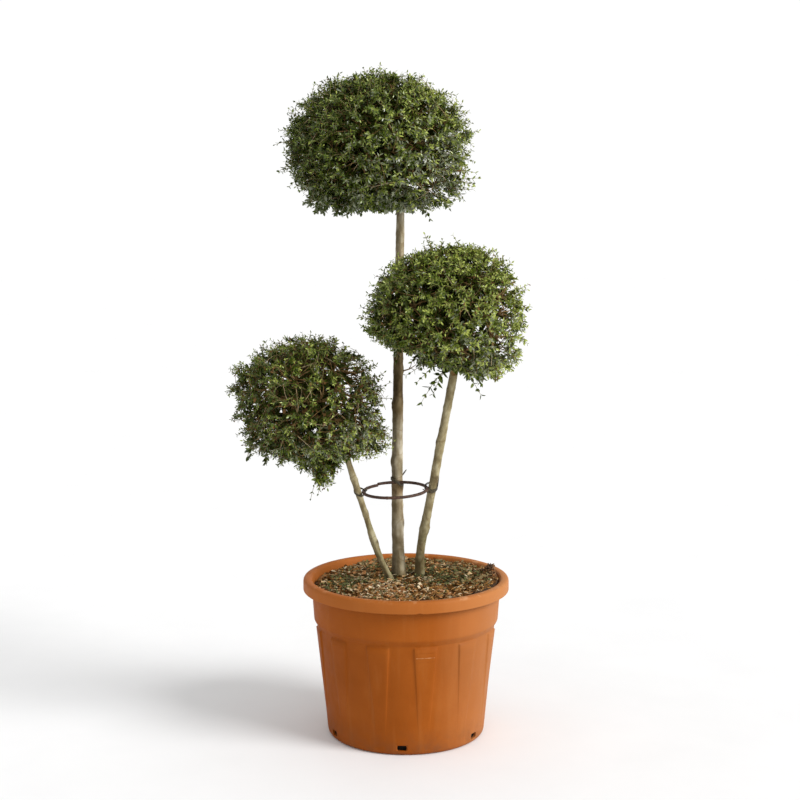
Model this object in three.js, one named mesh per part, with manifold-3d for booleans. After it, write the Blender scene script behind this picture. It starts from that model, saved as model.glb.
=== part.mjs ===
// Potted privet topiary: three clipped balls on three stems in a ribbed plastic tub.
// Millimetres, +Z up, front towards -Y. The origin is the centre of the tub's flat underside.
import * as THREE from "three";
import { mergeVertices } from "three/addons/utils/BufferGeometryUtils.js";
import Module from "manifold-3d";

const { Vector2, Vector3, Matrix4 } = THREE;
const { degToRad, lerp, clamp } = THREE.MathUtils;

// Clearance left where two pieces meet.
const GAP = 0.3;

// Tub: rolled lip, smooth band under it, sloping shoulder and a ribbed wall that tapers to the base.
const POT_HEIGHT = 385;
const POT_WALL = 4.5;
const RIM_RADIUS = 250;
const RIM_MOUTH_RADIUS = 231;
const LIP_DROP = 29;
const LIP_ROUND = 8;
const BAND_TOP_RADIUS = 229;
const BAND_FOOT_RADIUS = 224;
const BAND_FOOT = POT_HEIGHT - 101;
const SHOULDER_FOOT = BAND_FOOT - 14;
const WALL_TOP_RADIUS = 216;
const BASE_RADIUS = 191;
const BASE_ROUND = 12;

// Ribs: broad pads on the wall, proudest under the shoulder, that narrow downwards and run out above the base.
const RIB_COUNT = 12;
const RIB_HEIGHT = 4;
const RIB_FIRST_TURN = degToRad(12);
const RIB_HALF_WIDTH_TOP = degToRad(7.5);
const RIB_HALF_WIDTH_FOOT = degToRad(3.5);
const RIB_FLANK = degToRad(1.2);
const RIB_FOOT = 40;

// Drain slots, one between every other pair of ribs.
const SLOT_COUNT = 6;
const SLOT_FIRST_TURN = degToRad(-3);
const SLOT_WIDTH = 22;
const SLOT_HEIGHT = 13;
const SLOT_MID = 19;

// Soil: level round the stems, rough and tilted up to the right towards the edge, with one dry clump.
const SOIL_LEVEL = 377;
const SOIL_LEVEL_RADIUS = 75;
const SOIL_RINGS = [225, 205, 180, 145, 110];
const SOIL_ROUGHNESS = 4;
const SOIL_TILT = 5;
const CLUMP_SPOT = new Vector2(192, 72);
const CLUMP_SPREAD = 24;
const CLUMP_RISE = 24;

// Limbs: each one leaves the soil with a flare and tapers to a flat tip inside its ball.
const TRUNK = {
  base: new Vector3(-17, 36, SOIL_LEVEL + GAP),
  bend: new Vector3(-20, 36, 480),
  tip: new Vector3(-13.5, 34, 1284),
  baseRadius: 14.5,
  tipRadius: 9.5,
  flare: 4,
  knobs: [520, 660, 785],
  rings: 28,
  sides: 10,
};
const LEFT_STEM = {
  base: new Vector3(-39, 0, SOIL_LEVEL + GAP),
  bend: new Vector3(-65, -22, 440),
  tip: new Vector3(-145, -94, 710),
  baseRadius: 8,
  tipRadius: 7,
  flare: 2,
  knobs: [480, 640],
  rings: 18,
  sides: 8,
};
const RIGHT_STEM = {
  base: new Vector3(34, 36, SOIL_LEVEL + GAP),
  bend: new Vector3(35, 15, 440),
  tip: new Vector3(110, -130, 899),
  baseRadius: 10.6,
  tipRadius: 9.4,
  flare: 2.5,
  knobs: [500, 730],
  rings: 20,
  sides: 10,
};
// A limb runs from base to bend, hoop and tip, so the hoop is two thirds of the way by points.
const HOOP_ON_LIMB = 2 / 3;
const FLARE_LENGTH = 28;
const KNOB_HEIGHT = 1.8;
const KNOB_LENGTH = 16;

// Hoop: one bent rod that holds the stems apart. Its ends run past each other at the back on the left.
const HOOP_CENTRE = new Vector3(-26, -58, 606);
const HOOP_RADIUS = 76;
const HOOP_ROD = 3.5;
const HOOP_PITCH = degToRad(1.2);
const HOOP_ROLL = degToRad(-3.2);
const HOOP_START = degToRad(196);
const HOOP_OVERLAP = degToRad(40);
const HOOP_CLIMB = 2 * HOOP_ROD + 0.5;
const HOOP_SIDES = 6;
const HOOP_STEPS = 42;

// Ties: a wire round stem and rod, over the rod on one side, under it on the other, with two tails.
const TIE_WIRE = 1.1;
const TIE_CLEARANCE = 0.5;
const TIE_TILT = 10.5;
const TIE_OPENING = 0.3;
const TIE_TAIL = 11;
const TIE_SIDES = 4;
const TIE_STEPS = 24;

// Where round the hoop each stem stands, from the front towards the right.
const TRUNK_TURN = degToRad(177);
const LEFT_TURN = degToRad(-90);
const RIGHT_TURN = degToRad(98);

// Clipped balls: a round plan, with its own height above and below the widest level.
// A bulge lifts or dents the outline in one direction, and a narrow one carries a sprig.
const TOP_BALL = {
  centre: new Vector3(-70, 32, 1411),
  radius: 224,
  rise: 193,
  drop: 141,
  bulges: [],
  boughs: 20,
  seed: 11,
};
const RIGHT_BALL = {
  centre: new Vector3(90, -166, 1027),
  radius: 188,
  rise: 170,
  drop: 141,
  bulges: [
    { towards: new Vector3(-0.84, 0, -0.55), share: -0.2, spread: 0.38 },
    { towards: new Vector3(-0.62, -0.55, -0.55), share: -0.14, spread: 0.38 },
    { towards: new Vector3(-0.62, 0.55, -0.55), share: -0.14, spread: 0.38 },
    { towards: new Vector3(1, 0, -0.1), share: 0.05, spread: 0.5 },
    { towards: new Vector3(-0.26, -0.1, 1), share: 0.12, spread: 0.15 },
    { towards: new Vector3(0.09, 0.2, 1), share: 0.1, spread: 0.15 },
    { towards: new Vector3(-0.31, -0.13, -1), share: 0.28, spread: 0.15 },
  ],
  boughs: 15,
  seed: 23,
};
const LEFT_BALL = {
  centre: new Vector3(-223, -108, 830),
  radius: 182,
  rise: 161,
  drop: 131,
  bulges: [
    { towards: new Vector3(-1, 0, 0), share: 0.05, spread: 0.5 },
    { towards: new Vector3(-0.74, -0.1, -0.67), share: 0.08, spread: 0.4 },
    { towards: new Vector3(0.12, 0, -1), share: 0.58, spread: 0.29 },
  ],
  boughs: 14,
  seed: 37,
};

const UNDERSIDE_FULLNESS = 3;
const SPRIG_SPREAD = 0.3;

// Growth inside a ball, as shares of the way from its heart to its outline.
const CORE_SHARE = 0.84;
const CORE_LUMPS = 0.07;
const BOUGH_FROM = 0.15;
const BOUGH_TO = 0.62;
const TWIGS_PER_BOUGH = 3;
const TWIG_SPREAD = 0.3;
const BOUGH_RADIUS = 5;
const TWIG_RADIUS = 3.6;
const TWIG_TIP_RADIUS = 2.4;

// Leaves: a pair across each twig and one at its end, which touches the clipped outline.
const LEAF_LENGTH = 44;
const LEAF_WIDTH = 28;
const LEAF_THICKNESS = 2.6;
const LEAF_SUNK = 0.8;
const LEAF_LEAN = degToRad(62);
const LEAF_PAIR_AT = 0.95;
const END_LEAF_SHARE = 0.56;
const LIMB_CLEARANCE = 3;
const GOLDEN_TURN = Math.PI * (3 - Math.sqrt(5));

const MATERIALS = {
  pot: new THREE.MeshStandardMaterial({ color: 0xc4683f, roughness: 0.6, metalness: 0 }),
  soil: new THREE.MeshStandardMaterial({ color: 0x4b3627, roughness: 0.95, metalness: 0 }),
  bark: new THREE.MeshStandardMaterial({ color: 0x8d7c5f, roughness: 0.85, metalness: 0 }),
  cane: new THREE.MeshStandardMaterial({ color: 0x553d2d, roughness: 0.7, metalness: 0 }),
  tie: new THREE.MeshStandardMaterial({ color: 0x4a4030, roughness: 0.6, metalness: 0 }),
  leaf: new THREE.MeshStandardMaterial({ color: 0x648c36, roughness: 0.55, metalness: 0 }),
};

const wasm = await Module();
wasm.setup();

// A repeatable stream of numbers from 0 to 1.
function seededStream(seed) {
  let state = seed;
  return () => {
    state = (Math.imul(state, 1664525) + 1013904223) >>> 0;
    return state / 4294967296;
  };
}

// The geometry with shared corners and without the faces that shrink to a line.
function welded(geometry) {
  const bare = geometry.clone();
  bare.deleteAttribute("normal");
  bare.deleteAttribute("uv");
  const merged = mergeVertices(bare, 1e-3);
  const faces = merged.index.array;
  const kept = [];
  for (let i = 0; i < faces.length; i += 3) {
    const [a, b, c] = [faces[i], faces[i + 1], faces[i + 2]];
    if (a !== b && b !== c && c !== a) {
      kept.push(a, b, c);
    }
  }
  merged.setIndex(kept);
  return merged;
}

function toSolid(geometry) {
  const shape = welded(geometry);
  return new wasm.Manifold(
    new wasm.Mesh({
      numProp: 3,
      vertProperties: shape.attributes.position.array,
      triVerts: new Uint32Array(shape.index.array),
    }),
  );
}

function toGeometry(solid) {
  const mesh = solid.getMesh();
  const geometry = new THREE.BufferGeometry();
  geometry.setAttribute("position", new THREE.BufferAttribute(mesh.vertProperties, 3));
  geometry.setIndex(new THREE.BufferAttribute(mesh.triVerts, 1));
  return geometry;
}

function part(name, geometry, material, position = new Vector3()) {
  const flat = geometry.toNonIndexed();
  flat.computeVertexNormals();
  const mesh = new THREE.Mesh(flat, material);
  mesh.name = name;
  mesh.position.copy(position);
  return mesh;
}

// The point at a distance from the axis. Turns start at the front and run towards the right.
function polar(radius, turn, height) {
  return new Vector3(radius * Math.sin(turn), -radius * Math.cos(turn), height);
}

function wallRadius(height) {
  const share = (height - BASE_ROUND) / (SHOULDER_FOOT - BASE_ROUND);
  return lerp(BASE_RADIUS, WALL_TOP_RADIUS, share);
}

// The tub's section from the middle of the underside round to the middle of the inner floor.
function potSection() {
  const lipFoot = POT_HEIGHT - LIP_DROP;
  const underLip = POT_HEIGHT - POT_WALL;
  const skirt = RIM_RADIUS - POT_WALL;
  const mouth = BAND_TOP_RADIUS - POT_WALL;
  const outside = [
    [0, 0],
    [BASE_RADIUS - BASE_ROUND, 0],
    [BASE_RADIUS - 0.3 * BASE_ROUND, 0.3 * BASE_ROUND],
    [BASE_RADIUS, BASE_ROUND],
    [wallRadius(RIB_FOOT), RIB_FOOT],
    [wallRadius(2 * RIB_FOOT), 2 * RIB_FOOT],
    [wallRadius(SHOULDER_FOOT - 4), SHOULDER_FOOT - 4],
    [WALL_TOP_RADIUS, SHOULDER_FOOT],
    [BAND_FOOT_RADIUS, BAND_FOOT],
    [BAND_TOP_RADIUS, lipFoot],
    [BAND_TOP_RADIUS, underLip - 2],
    [skirt - 3, underLip - 2],
    [skirt, underLip - 6],
    [skirt, lipFoot],
    [RIM_RADIUS, lipFoot],
    [RIM_RADIUS, POT_HEIGHT - LIP_ROUND],
    [RIM_RADIUS - 0.3 * LIP_ROUND, POT_HEIGHT - 0.3 * LIP_ROUND],
    [RIM_RADIUS - LIP_ROUND, POT_HEIGHT],
  ];
  const inside = [
    [RIM_MOUTH_RADIUS, POT_HEIGHT],
    [mouth, POT_HEIGHT - LIP_ROUND],
    [BAND_FOOT_RADIUS - POT_WALL, BAND_FOOT],
    [WALL_TOP_RADIUS - POT_WALL, SHOULDER_FOOT],
    [BASE_RADIUS - POT_WALL, BASE_ROUND],
    [BASE_RADIUS - BASE_ROUND, POT_WALL],
    [0, POT_WALL],
  ];
  return [...outside, ...inside].map(([radius, height]) => new Vector2(radius, height));
}

function ribHalfWidth(height) {
  const share = clamp((height - RIB_FOOT) / (SHOULDER_FOOT - RIB_FOOT), 0, 1);
  return lerp(RIB_HALF_WIDTH_FOOT, RIB_HALF_WIDTH_TOP, share);
}

// The turn of one upright line of the tub: four to a rib, drawn in to the rib's edges on the wall.
function potTurn(line, height, onWall) {
  const rib = Math.floor(line / 4);
  const edge = line % 4;
  const pitch = (2 * Math.PI) / RIB_COUNT;
  const half = ribHalfWidth(height);
  const ribEdges = [-half, RIB_FLANK - half, half - RIB_FLANK, half];
  const offset = onWall ? ribEdges[edge] : ((edge - 1.5) * pitch) / 4;
  return RIB_FIRST_TURN + rib * pitch + offset;
}

function potGeometry() {
  const section = potSection();
  const geometry = new THREE.LatheGeometry(section, 4 * RIB_COUNT);
  const position = geometry.attributes.position;
  for (let i = 0; i < position.count; i++) {
    const line = Math.floor(i / section.length);
    const row = i % section.length;
    const { x: radius, y: height } = section[row];
    const onWall = row >= 4 && row <= 7;
    const onPad = (row === 5 || row === 6) && (line % 4 === 1 || line % 4 === 2);
    const proud = (RIB_HEIGHT * (height - RIB_FOOT)) / (SHOULDER_FOOT - RIB_FOOT);
    const point = polar(radius + (onPad ? proud : 0), potTurn(line, height, onWall), height);
    position.setXYZ(i, point.x, point.y, point.z);
  }
  let tub = toSolid(geometry);
  for (let i = 0; i < SLOT_COUNT; i++) {
    const turn = SLOT_FIRST_TURN + (i * 2 * Math.PI) / SLOT_COUNT;
    const slot = new THREE.BoxGeometry(SLOT_WIDTH, 6 * POT_WALL, SLOT_HEIGHT);
    const middle = polar(BASE_RADIUS - POT_WALL / 2, turn, SLOT_MID);
    slot.rotateZ(turn);
    slot.translate(middle.x, middle.y, middle.z);
    tub = tub.subtract(toSolid(slot));
  }
  return toGeometry(tub);
}

// Height of the soil's rough top over a spot.
function soilHeight(x, y, bump) {
  const radius = Math.hypot(x, y);
  const outwards = clamp((radius - SOIL_LEVEL_RADIUS) / (SOIL_RINGS[0] - SOIL_LEVEL_RADIUS), 0, 1);
  const rough = SOIL_ROUGHNESS * (2 * bump - 1);
  const tilt = (SOIL_TILT * x) / SOIL_RINGS[0];
  const fromClump = Math.hypot(x - CLUMP_SPOT.x, y - CLUMP_SPOT.y) / CLUMP_SPREAD;
  return SOIL_LEVEL + (rough + tilt) * outwards + CLUMP_RISE * Math.exp(-fromClump * fromClump);
}

function soilGeometry() {
  const lines = 32;
  // The tub's inner wall is flat between its upright lines, so the soil stays inside those flats.
  const flats = Math.cos(Math.PI / (4 * RIB_COUNT));
  const side = potSection()
    .slice(-5)
    .reverse()
    .map(({ x, y }) => new Vector2(Math.max(0, x * flats - GAP), y));
  side[0].y += GAP;
  side[1].y += GAP;
  const mouth = (BAND_TOP_RADIUS - POT_WALL) * flats - 2 * GAP;
  const top = SOIL_RINGS.map((radius) => new Vector2(Math.min(radius, mouth - GAP), SOIL_LEVEL));
  const level = [new Vector2(SOIL_LEVEL_RADIUS, SOIL_LEVEL), new Vector2(0, SOIL_LEVEL)];
  const section = [...side, ...top, ...level];
  const geometry = new THREE.LatheGeometry(section, lines);
  const position = geometry.attributes.position;
  const bumps = Array.from({ length: lines * section.length }, seededStream(5));
  for (let i = 0; i < position.count; i++) {
    const line = Math.floor(i / section.length) % lines;
    const row = i % section.length;
    const spot = polar(section[row].x, (line * 2 * Math.PI) / lines, section[row].y);
    if (row >= side.length) {
      spot.z = soilHeight(spot.x, spot.y, bumps[line * section.length + row]);
    }
    position.setXYZ(i, spot.x, spot.y, spot.z);
  }
  return welded(geometry);
}

// Thickness of a limb at a height: taper, flare at the soil and low knobs.
function limbRadius(limb, height) {
  const length = limb.tip.z - limb.base.z;
  const up = height - limb.base.z;
  let radius = lerp(limb.baseRadius, limb.tipRadius, up / length);
  radius += limb.flare * Math.exp(-up / FLARE_LENGTH);
  for (const knob of limb.knobs) {
    const away = (height - knob) / KNOB_LENGTH;
    radius += KNOB_HEIGHT * Math.exp(-away * away);
  }
  return radius;
}

// A round limb along a curve, with level cuts at both ends.
function limbGeometry(curve, radiusAt, sides, rings) {
  const middles = curve.getSpacedPoints(rings);
  const rims = middles.map((middle) => new Vector2(radiusAt(middle.z), middle.z));
  const section = [new Vector2(0, rims[0].y), ...rims, new Vector2(0, rims[rings].y)];
  const geometry = new THREE.LatheGeometry(section, sides).rotateX(Math.PI / 2);
  const position = geometry.attributes.position;
  for (let i = 0; i < position.count; i++) {
    const middle = middles[clamp((i % section.length) - 1, 0, rings)];
    position.setXYZ(i, position.getX(i) + middle.x, position.getY(i) + middle.y, middle.z);
  }
  return welded(geometry);
}

const hoopTilt = new Matrix4()
  .makeRotationFromEuler(new THREE.Euler(HOOP_PITCH, HOOP_ROLL, 0))
  .setPosition(HOOP_CENTRE);

// The middle of the hoop's rod at a turn round the hoop, counted on from the rod's first end.
function hoopPoint(turn) {
  const fullTurn = 2 * Math.PI;
  const along = (((turn - HOOP_START) % fullTurn) + fullTurn) % fullTurn;
  return hoopPathPoint(along);
}

function hoopPathPoint(along) {
  const climb = HOOP_CLIMB * ((along - HOOP_OVERLAP / 2) / (2 * Math.PI) - 0.5);
  return polar(HOOP_RADIUS, HOOP_START + along, climb).applyMatrix4(hoopTilt);
}

// Where a limb passes the hoop: just outside the rod.
function limbAtHoop(limb, turn) {
  const rod = hoopPoint(turn);
  const reach = HOOP_ROD + limbRadius(limb, rod.z) + GAP;
  return rod.clone().addScaledVector(polar(1, turn, 0), reach);
}

function limbCurve(limb, turn) {
  const points = [limb.base, limb.bend, limbAtHoop(limb, turn), limb.tip];
  return new THREE.CatmullRomCurve3(points, false, "centripetal");
}

function stemGeometry(limb, turn) {
  const radiusAt = (height) => limbRadius(limb, height);
  return limbGeometry(limbCurve(limb, turn), radiusAt, limb.sides, limb.rings);
}

function rodAlong(points, radius, sides, steps) {
  const round = new THREE.Shape();
  round.absarc(0, 0, radius, 0, 2 * Math.PI);
  const geometry = new THREE.ExtrudeGeometry(round, {
    extrudePath: new THREE.CatmullRomCurve3(points),
    curveSegments: sides / 2,
    steps,
    bevelEnabled: false,
  });
  return welded(geometry);
}

function hoopGeometry() {
  const points = [];
  const length = 2 * Math.PI + HOOP_OVERLAP;
  for (let i = 0; i <= 32; i++) {
    points.push(hoopPathPoint((i / 32) * length));
  }
  return rodAlong(points, HOOP_ROD, HOOP_SIDES, HOOP_STEPS);
}

// The wire climbs over the rod on the side where the rod falls away.
function tieGeometry(limb, turn) {
  const stem = limbAtHoop(limb, turn);
  const rod = hoopPoint(turn);
  const lean = limbCurve(limb, turn).getTangent(HOOP_ON_LIMB);
  const climb = lean.divideScalar(lean.z);
  const tilt = TIE_TILT * Math.sign(hoopPoint(turn + 0.1).z - hoopPoint(turn - 0.1).z);
  const inwards = polar(-1, turn, 0);
  const across = new Vector3(0, 0, 1).cross(inwards);
  const behind = limbRadius(limb, rod.z) + TIE_WIRE + TIE_CLEARANCE;
  const before = rod.clone().sub(stem).dot(inwards) + HOOP_ROD + TIE_WIRE + TIE_CLEARANCE;
  const halfLength = (behind + before) / 2;
  const halfWidth = Math.sqrt(halfLength * behind);
  const middle = stem.clone().addScaledVector(inwards, halfLength - behind);
  const pointAt = (angle, stretch) =>
    middle
      .clone()
      .addScaledVector(inwards, halfLength * Math.cos(angle) + stretch)
      .addScaledVector(across, halfWidth * Math.sin(angle))
      .addScaledVector(climb, tilt * Math.sin(angle));
  const points = [pointAt(TIE_OPENING, TIE_TAIL).addScaledVector(climb, TIE_TAIL)];
  for (let i = 0; i <= 16; i++) {
    points.push(pointAt(lerp(TIE_OPENING, 2 * Math.PI - TIE_OPENING, i / 16), 0));
  }
  points.push(pointAt(2 * Math.PI - TIE_OPENING, TIE_TAIL / 2));
  return rodAlong(points, TIE_WIRE, TIE_SIDES, TIE_STEPS);
}

// Distance from a ball's centre to its clipped outline in one direction: a dome over a flatter underside.
function outlineReach(ball, direction) {
  const above = direction.z > 0;
  const fullness = above ? 2 : UNDERSIDE_FULLNESS;
  const flat = Math.hypot(direction.x, direction.y) / ball.radius;
  const upright = Math.abs(direction.z) / (above ? ball.rise : ball.drop);
  let reach = (flat ** fullness + upright ** fullness) ** (-1 / fullness);
  for (const bulge of ball.bulges) {
    const away = direction.angleTo(bulge.towards) / bulge.spread;
    reach *= 1 + bulge.share * Math.exp(-away * away);
  }
  return reach;
}

// Directions spread evenly over a ball, one turn of the golden angle after another.
function evenDirection(index, count, random) {
  const height = 1 - (2 * (index + 0.5)) / count;
  const turn = index * GOLDEN_TURN + 0.5 * random();
  const flat = Math.sqrt(1 - height * height);
  return new Vector3(flat * Math.cos(turn), flat * Math.sin(turn), height);
}

// A three-sided twig between two points.
function twigSolid(from, to, radiusFrom, radiusTo) {
  const along = to.clone().sub(from);
  const geometry = new THREE.CylinderGeometry(radiusTo, radiusFrom, along.length(), 3);
  const turn = new THREE.Quaternion().setFromUnitVectors(new Vector3(0, 1, 0), along.normalize());
  geometry.applyQuaternion(turn);
  geometry.translate((from.x + to.x) / 2, (from.y + to.y) / 2, (from.z + to.z) / 2);
  return toSolid(geometry);
}

// One leaf: pointed at both ends, thickest in the middle, its root sunk in the twig.
function leafSolid(root, along, face, size) {
  const across = along.clone().cross(face).normalize();
  const up = across.clone().cross(along);
  const shape = new Matrix4().makeBasis(
    across.multiplyScalar((size * LEAF_WIDTH) / 2),
    along.clone().multiplyScalar((size * LEAF_LENGTH) / 2),
    up.multiplyScalar(LEAF_THICKNESS / 2),
  );
  shape.setPosition(root.clone().addScaledVector(along, (size * LEAF_LENGTH) / 2 - LEAF_SUNK));
  return toSolid(new THREE.OctahedronGeometry(1).applyMatrix4(shape));
}

// Whether a spot, given from the ball's centre, is inside the outline and clear of the limb.
function hasRoom(ball, limb, spot) {
  const direction = spot.clone().normalize();
  if (spot.length() > outlineReach(ball, direction)) {
    return false;
  }
  const tip = limb.tip.clone().sub(ball.centre);
  const aside = Math.hypot(spot.x - tip.x, spot.y - tip.y);
  const below = spot.z < tip.z + LEAF_WIDTH / 2;
  return !(below && aside < limb.tipRadius + LEAF_WIDTH / 2 + LIMB_CLEARANCE);
}

// A twig from a fork to the outline: a pair of leaves near its end and one leaf that carries it on.
function sprigSolids(ball, limb, fork, way, random) {
  const endSize = END_LEAF_SHARE * (0.85 + 0.3 * random());
  const leafReach = endSize * LEAF_LENGTH - LEAF_SUNK;
  const end = way.clone().multiplyScalar(outlineReach(ball, way) - leafReach);
  const along = end.clone().sub(fork).normalize();
  const side = new Vector3(0, 0, 1).cross(along).normalize();
  side.applyAxisAngle(along, random() * Math.PI);
  if (!hasRoom(ball, limb, end)) {
    return [];
  }
  const solids = [
    twigSolid(fork, end, TWIG_RADIUS, TWIG_TIP_RADIUS),
    leafSolid(end, along, side, endSize),
  ];
  const pairRoot = fork.clone().lerp(end, LEAF_PAIR_AT);
  for (const way of [1, -1]) {
    const size = 0.85 + 0.3 * random();
    const direction = along.clone().multiplyScalar(Math.cos(LEAF_LEAN));
    direction.addScaledVector(side, way * Math.sin(LEAF_LEAN));
    const tip = pairRoot.clone().addScaledVector(direction, size * LEAF_LENGTH - LEAF_SUNK);
    if (hasRoom(ball, limb, tip)) {
      solids.push(leafSolid(pairRoot, direction, along, size));
    }
  }
  return solids;
}

// The dense heart of a ball, a smaller, lumpy copy of its outline.
function coreSolid(ball, random) {
  const geometry = welded(new THREE.IcosahedronGeometry(1, 3));
  const position = geometry.attributes.position;
  const direction = new Vector3();
  for (let i = 0; i < position.count; i++) {
    direction.fromBufferAttribute(position, i).normalize();
    const share = CORE_SHARE * (1 - CORE_LUMPS * random());
    const point = direction.multiplyScalar(share * outlineReach(ball, direction));
    position.setXYZ(i, point.x, point.y, point.z);
  }
  return toSolid(geometry);
}

// One clipped ball about its own centre: stem, heart, boughs, twigs and leaves fused together.
function ballGeometry(ball, limb) {
  const random = seededStream(ball.seed);
  const foot = limb.tip.clone().sub(ball.centre);
  foot.z += GAP;
  const head = foot.clone().multiplyScalar(0.2);
  const stemCurve = new THREE.LineCurve3(foot, head);
  const pieces = [
    coreSolid(ball, random),
    toSolid(limbGeometry(stemCurve, () => limb.tipRadius, limb.sides, 1)),
  ];
  const growBough = (direction, twigs, spread) => {
    const reach = outlineReach(ball, direction);
    const from = direction.clone().multiplyScalar(BOUGH_FROM * reach);
    const fork = direction.clone().multiplyScalar(BOUGH_TO * reach);
    pieces.push(twigSolid(from, fork, BOUGH_RADIUS, TWIG_RADIUS));
    const aside = new Vector3(0, 0, 1).cross(direction).normalize();
    aside.applyAxisAngle(direction, random() * 2 * Math.PI);
    for (let i = 0; i < twigs; i++) {
      const way = direction.clone().addScaledVector(aside, spread).normalize();
      pieces.push(...sprigSolids(ball, limb, fork, way, random));
      aside.applyAxisAngle(direction, (2 * Math.PI) / twigs);
    }
  };
  for (let i = 0; i < ball.boughs; i++) {
    growBough(evenDirection(i, ball.boughs, random), TWIGS_PER_BOUGH, TWIG_SPREAD);
  }
  for (const bulge of ball.bulges.filter(({ share, spread }) => share > 0 && spread < SPRIG_SPREAD)) {
    growBough(bulge.towards.clone().normalize(), 1, 0);
  }
  const fused = wasm.Manifold.union(pieces).simplify(0.05);
  const bodies = fused.decompose();
  bodies.sort((a, b) => b.volume() - a.volume());
  return toGeometry(bodies[0]);
}

const topiary = new THREE.Group();
topiary.name = "potted_privet_topiary";

const container = new THREE.Group();
container.add(part("pot", potGeometry(), MATERIALS.pot));
container.add(part("soil", soilGeometry(), MATERIALS.soil));
topiary.add(container);

const plant = new THREE.Group();
const STEMS = [
  {
    names: { stem: "trunk", tie: "trunk_tie", crown: "top_ball" },
    limb: TRUNK,
    turn: TRUNK_TURN,
    ball: TOP_BALL,
  },
  {
    names: { stem: "left_stem", tie: "left_tie", crown: "left_ball" },
    limb: LEFT_STEM,
    turn: LEFT_TURN,
    ball: LEFT_BALL,
  },
  {
    names: { stem: "right_stem", tie: "right_tie", crown: "right_ball" },
    limb: RIGHT_STEM,
    turn: RIGHT_TURN,
    ball: RIGHT_BALL,
  },
];
for (const { names, limb, turn, ball } of STEMS) {
  plant.add(part(names.stem, stemGeometry(limb, turn), MATERIALS.bark));
  plant.add(part(names.tie, tieGeometry(limb, turn), MATERIALS.tie));
  plant.add(part(names.crown, ballGeometry(ball, limb), MATERIALS.leaf, ball.centre));
}
plant.add(part("hoop", hoopGeometry(), MATERIALS.cane));
topiary.add(plant);

export default topiary;
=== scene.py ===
# %% [markdown]
# # A potted privet topiary
# Three clipped balls of small leaves stand on three slim stems. A bent cane hoop with wire ties spreads
# the stems, and a ribbed tub filled with bark mulch carries them. The solid model is loaded first and
# stays untouched: it says where everything is. The finer pieces below take the places of its solids.

# %% Load the solid model
import math

import bmesh
import bpy
import numpy as np
from mathutils import Matrix, Vector, noise


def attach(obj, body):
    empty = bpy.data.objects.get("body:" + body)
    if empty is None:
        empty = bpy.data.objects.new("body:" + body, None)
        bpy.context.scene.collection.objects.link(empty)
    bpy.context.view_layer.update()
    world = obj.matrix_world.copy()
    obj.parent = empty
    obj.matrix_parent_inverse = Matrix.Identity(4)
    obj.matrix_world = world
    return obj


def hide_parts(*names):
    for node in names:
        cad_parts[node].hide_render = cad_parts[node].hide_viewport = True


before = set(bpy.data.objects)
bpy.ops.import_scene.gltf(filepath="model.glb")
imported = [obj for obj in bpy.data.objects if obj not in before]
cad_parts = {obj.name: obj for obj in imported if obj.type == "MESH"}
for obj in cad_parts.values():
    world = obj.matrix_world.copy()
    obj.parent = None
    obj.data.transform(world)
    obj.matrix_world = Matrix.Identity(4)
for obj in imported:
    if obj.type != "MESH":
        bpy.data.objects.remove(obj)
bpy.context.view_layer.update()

# %% [markdown]
# ## Camera
# The picture was taken from a little above the lower balls, about three and a half metres away. The
# ellipses of the tub's rim and base fix the height and the tilt, and the width of the rim in the picture
# fixes the focal length.

# %% Camera
CAMERA_SPOT = (-0.0146, -3.56, 1.27)
CAMERA_TILT = math.radians(82.75)
FOCAL_LENGTH = 67.23
SENSOR_WIDTH = 36


def place_object(name, data):
    """A new object in the scene for a mesh, a lamp or a camera."""
    thing = bpy.data.objects.new(name, data)
    bpy.context.scene.collection.objects.link(thing)
    return thing


camera_data = bpy.data.cameras.new("photo_camera")
camera_data.sensor_width = SENSOR_WIDTH
camera_data.lens = FOCAL_LENGTH
camera = place_object("photo_camera", camera_data)
camera.location = CAMERA_SPOT
camera.rotation_euler = (CAMERA_TILT, 0, 0)
bpy.context.scene.camera = camera
print("camera at", CAMERA_SPOT, "lens", FOCAL_LENGTH, "mm")

# %% [markdown]
# ## Helpers for meshes
# A plant has tens of thousands of leaves. One object for each would choke Blender, so every kind of leaf,
# chip or twig becomes one mesh that is filled from arrays of points and faces. `foreach_set` copies a
# whole array at once, which is much quicker than adding faces one by one.

# %% Fill a mesh from arrays
def add_piece(name, points, faces, finish, slot, stands_for=(), smooth=True):
    points = np.asarray(points, np.float32)
    faces = np.asarray(faces, np.int32)
    corners = faces.shape[1]
    mesh = bpy.data.meshes.new(name)
    mesh.vertices.add(len(points))
    mesh.vertices.foreach_set("co", points.ravel())
    mesh.loops.add(faces.size)
    mesh.loops.foreach_set("vertex_index", faces.ravel())
    mesh.polygons.add(len(faces))
    mesh.polygons.foreach_set("loop_start", np.arange(0, faces.size, corners, dtype=np.int32))
    mesh.polygons.foreach_set("use_smooth", np.full(len(faces), smooth))
    mesh.update(calc_edges=True)
    mesh.validate()
    mesh.materials.append(finish)
    piece = place_object(name, mesh)
    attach(piece, "root")
    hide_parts(*stands_for)
    print(f"{name}: {len(points)} points, {len(faces) * (corners - 2)} triangles")
    return piece


# %% Weld a mesh
def weld(mesh):
    """Merges points that share a spot, so that a turned shape closes on its axis."""
    shape = bmesh.new()
    shape.from_mesh(mesh)
    bmesh.ops.remove_doubles(shape, verts=shape.verts, dist=1e-6)
    bmesh.ops.recalc_face_normals(shape, faces=shape.faces)
    shape.to_mesh(mesh)
    shape.free()
    print(f"{mesh.name}: {len(mesh.vertices)} points after welding")


# %% Small helpers for directions and grids
FULL_TURN = 2 * math.pi


def unit(ways):
    ways = np.asarray(ways, float)
    return ways / np.maximum(np.linalg.norm(ways, axis=-1, keepdims=True), 1e-12)


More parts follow.
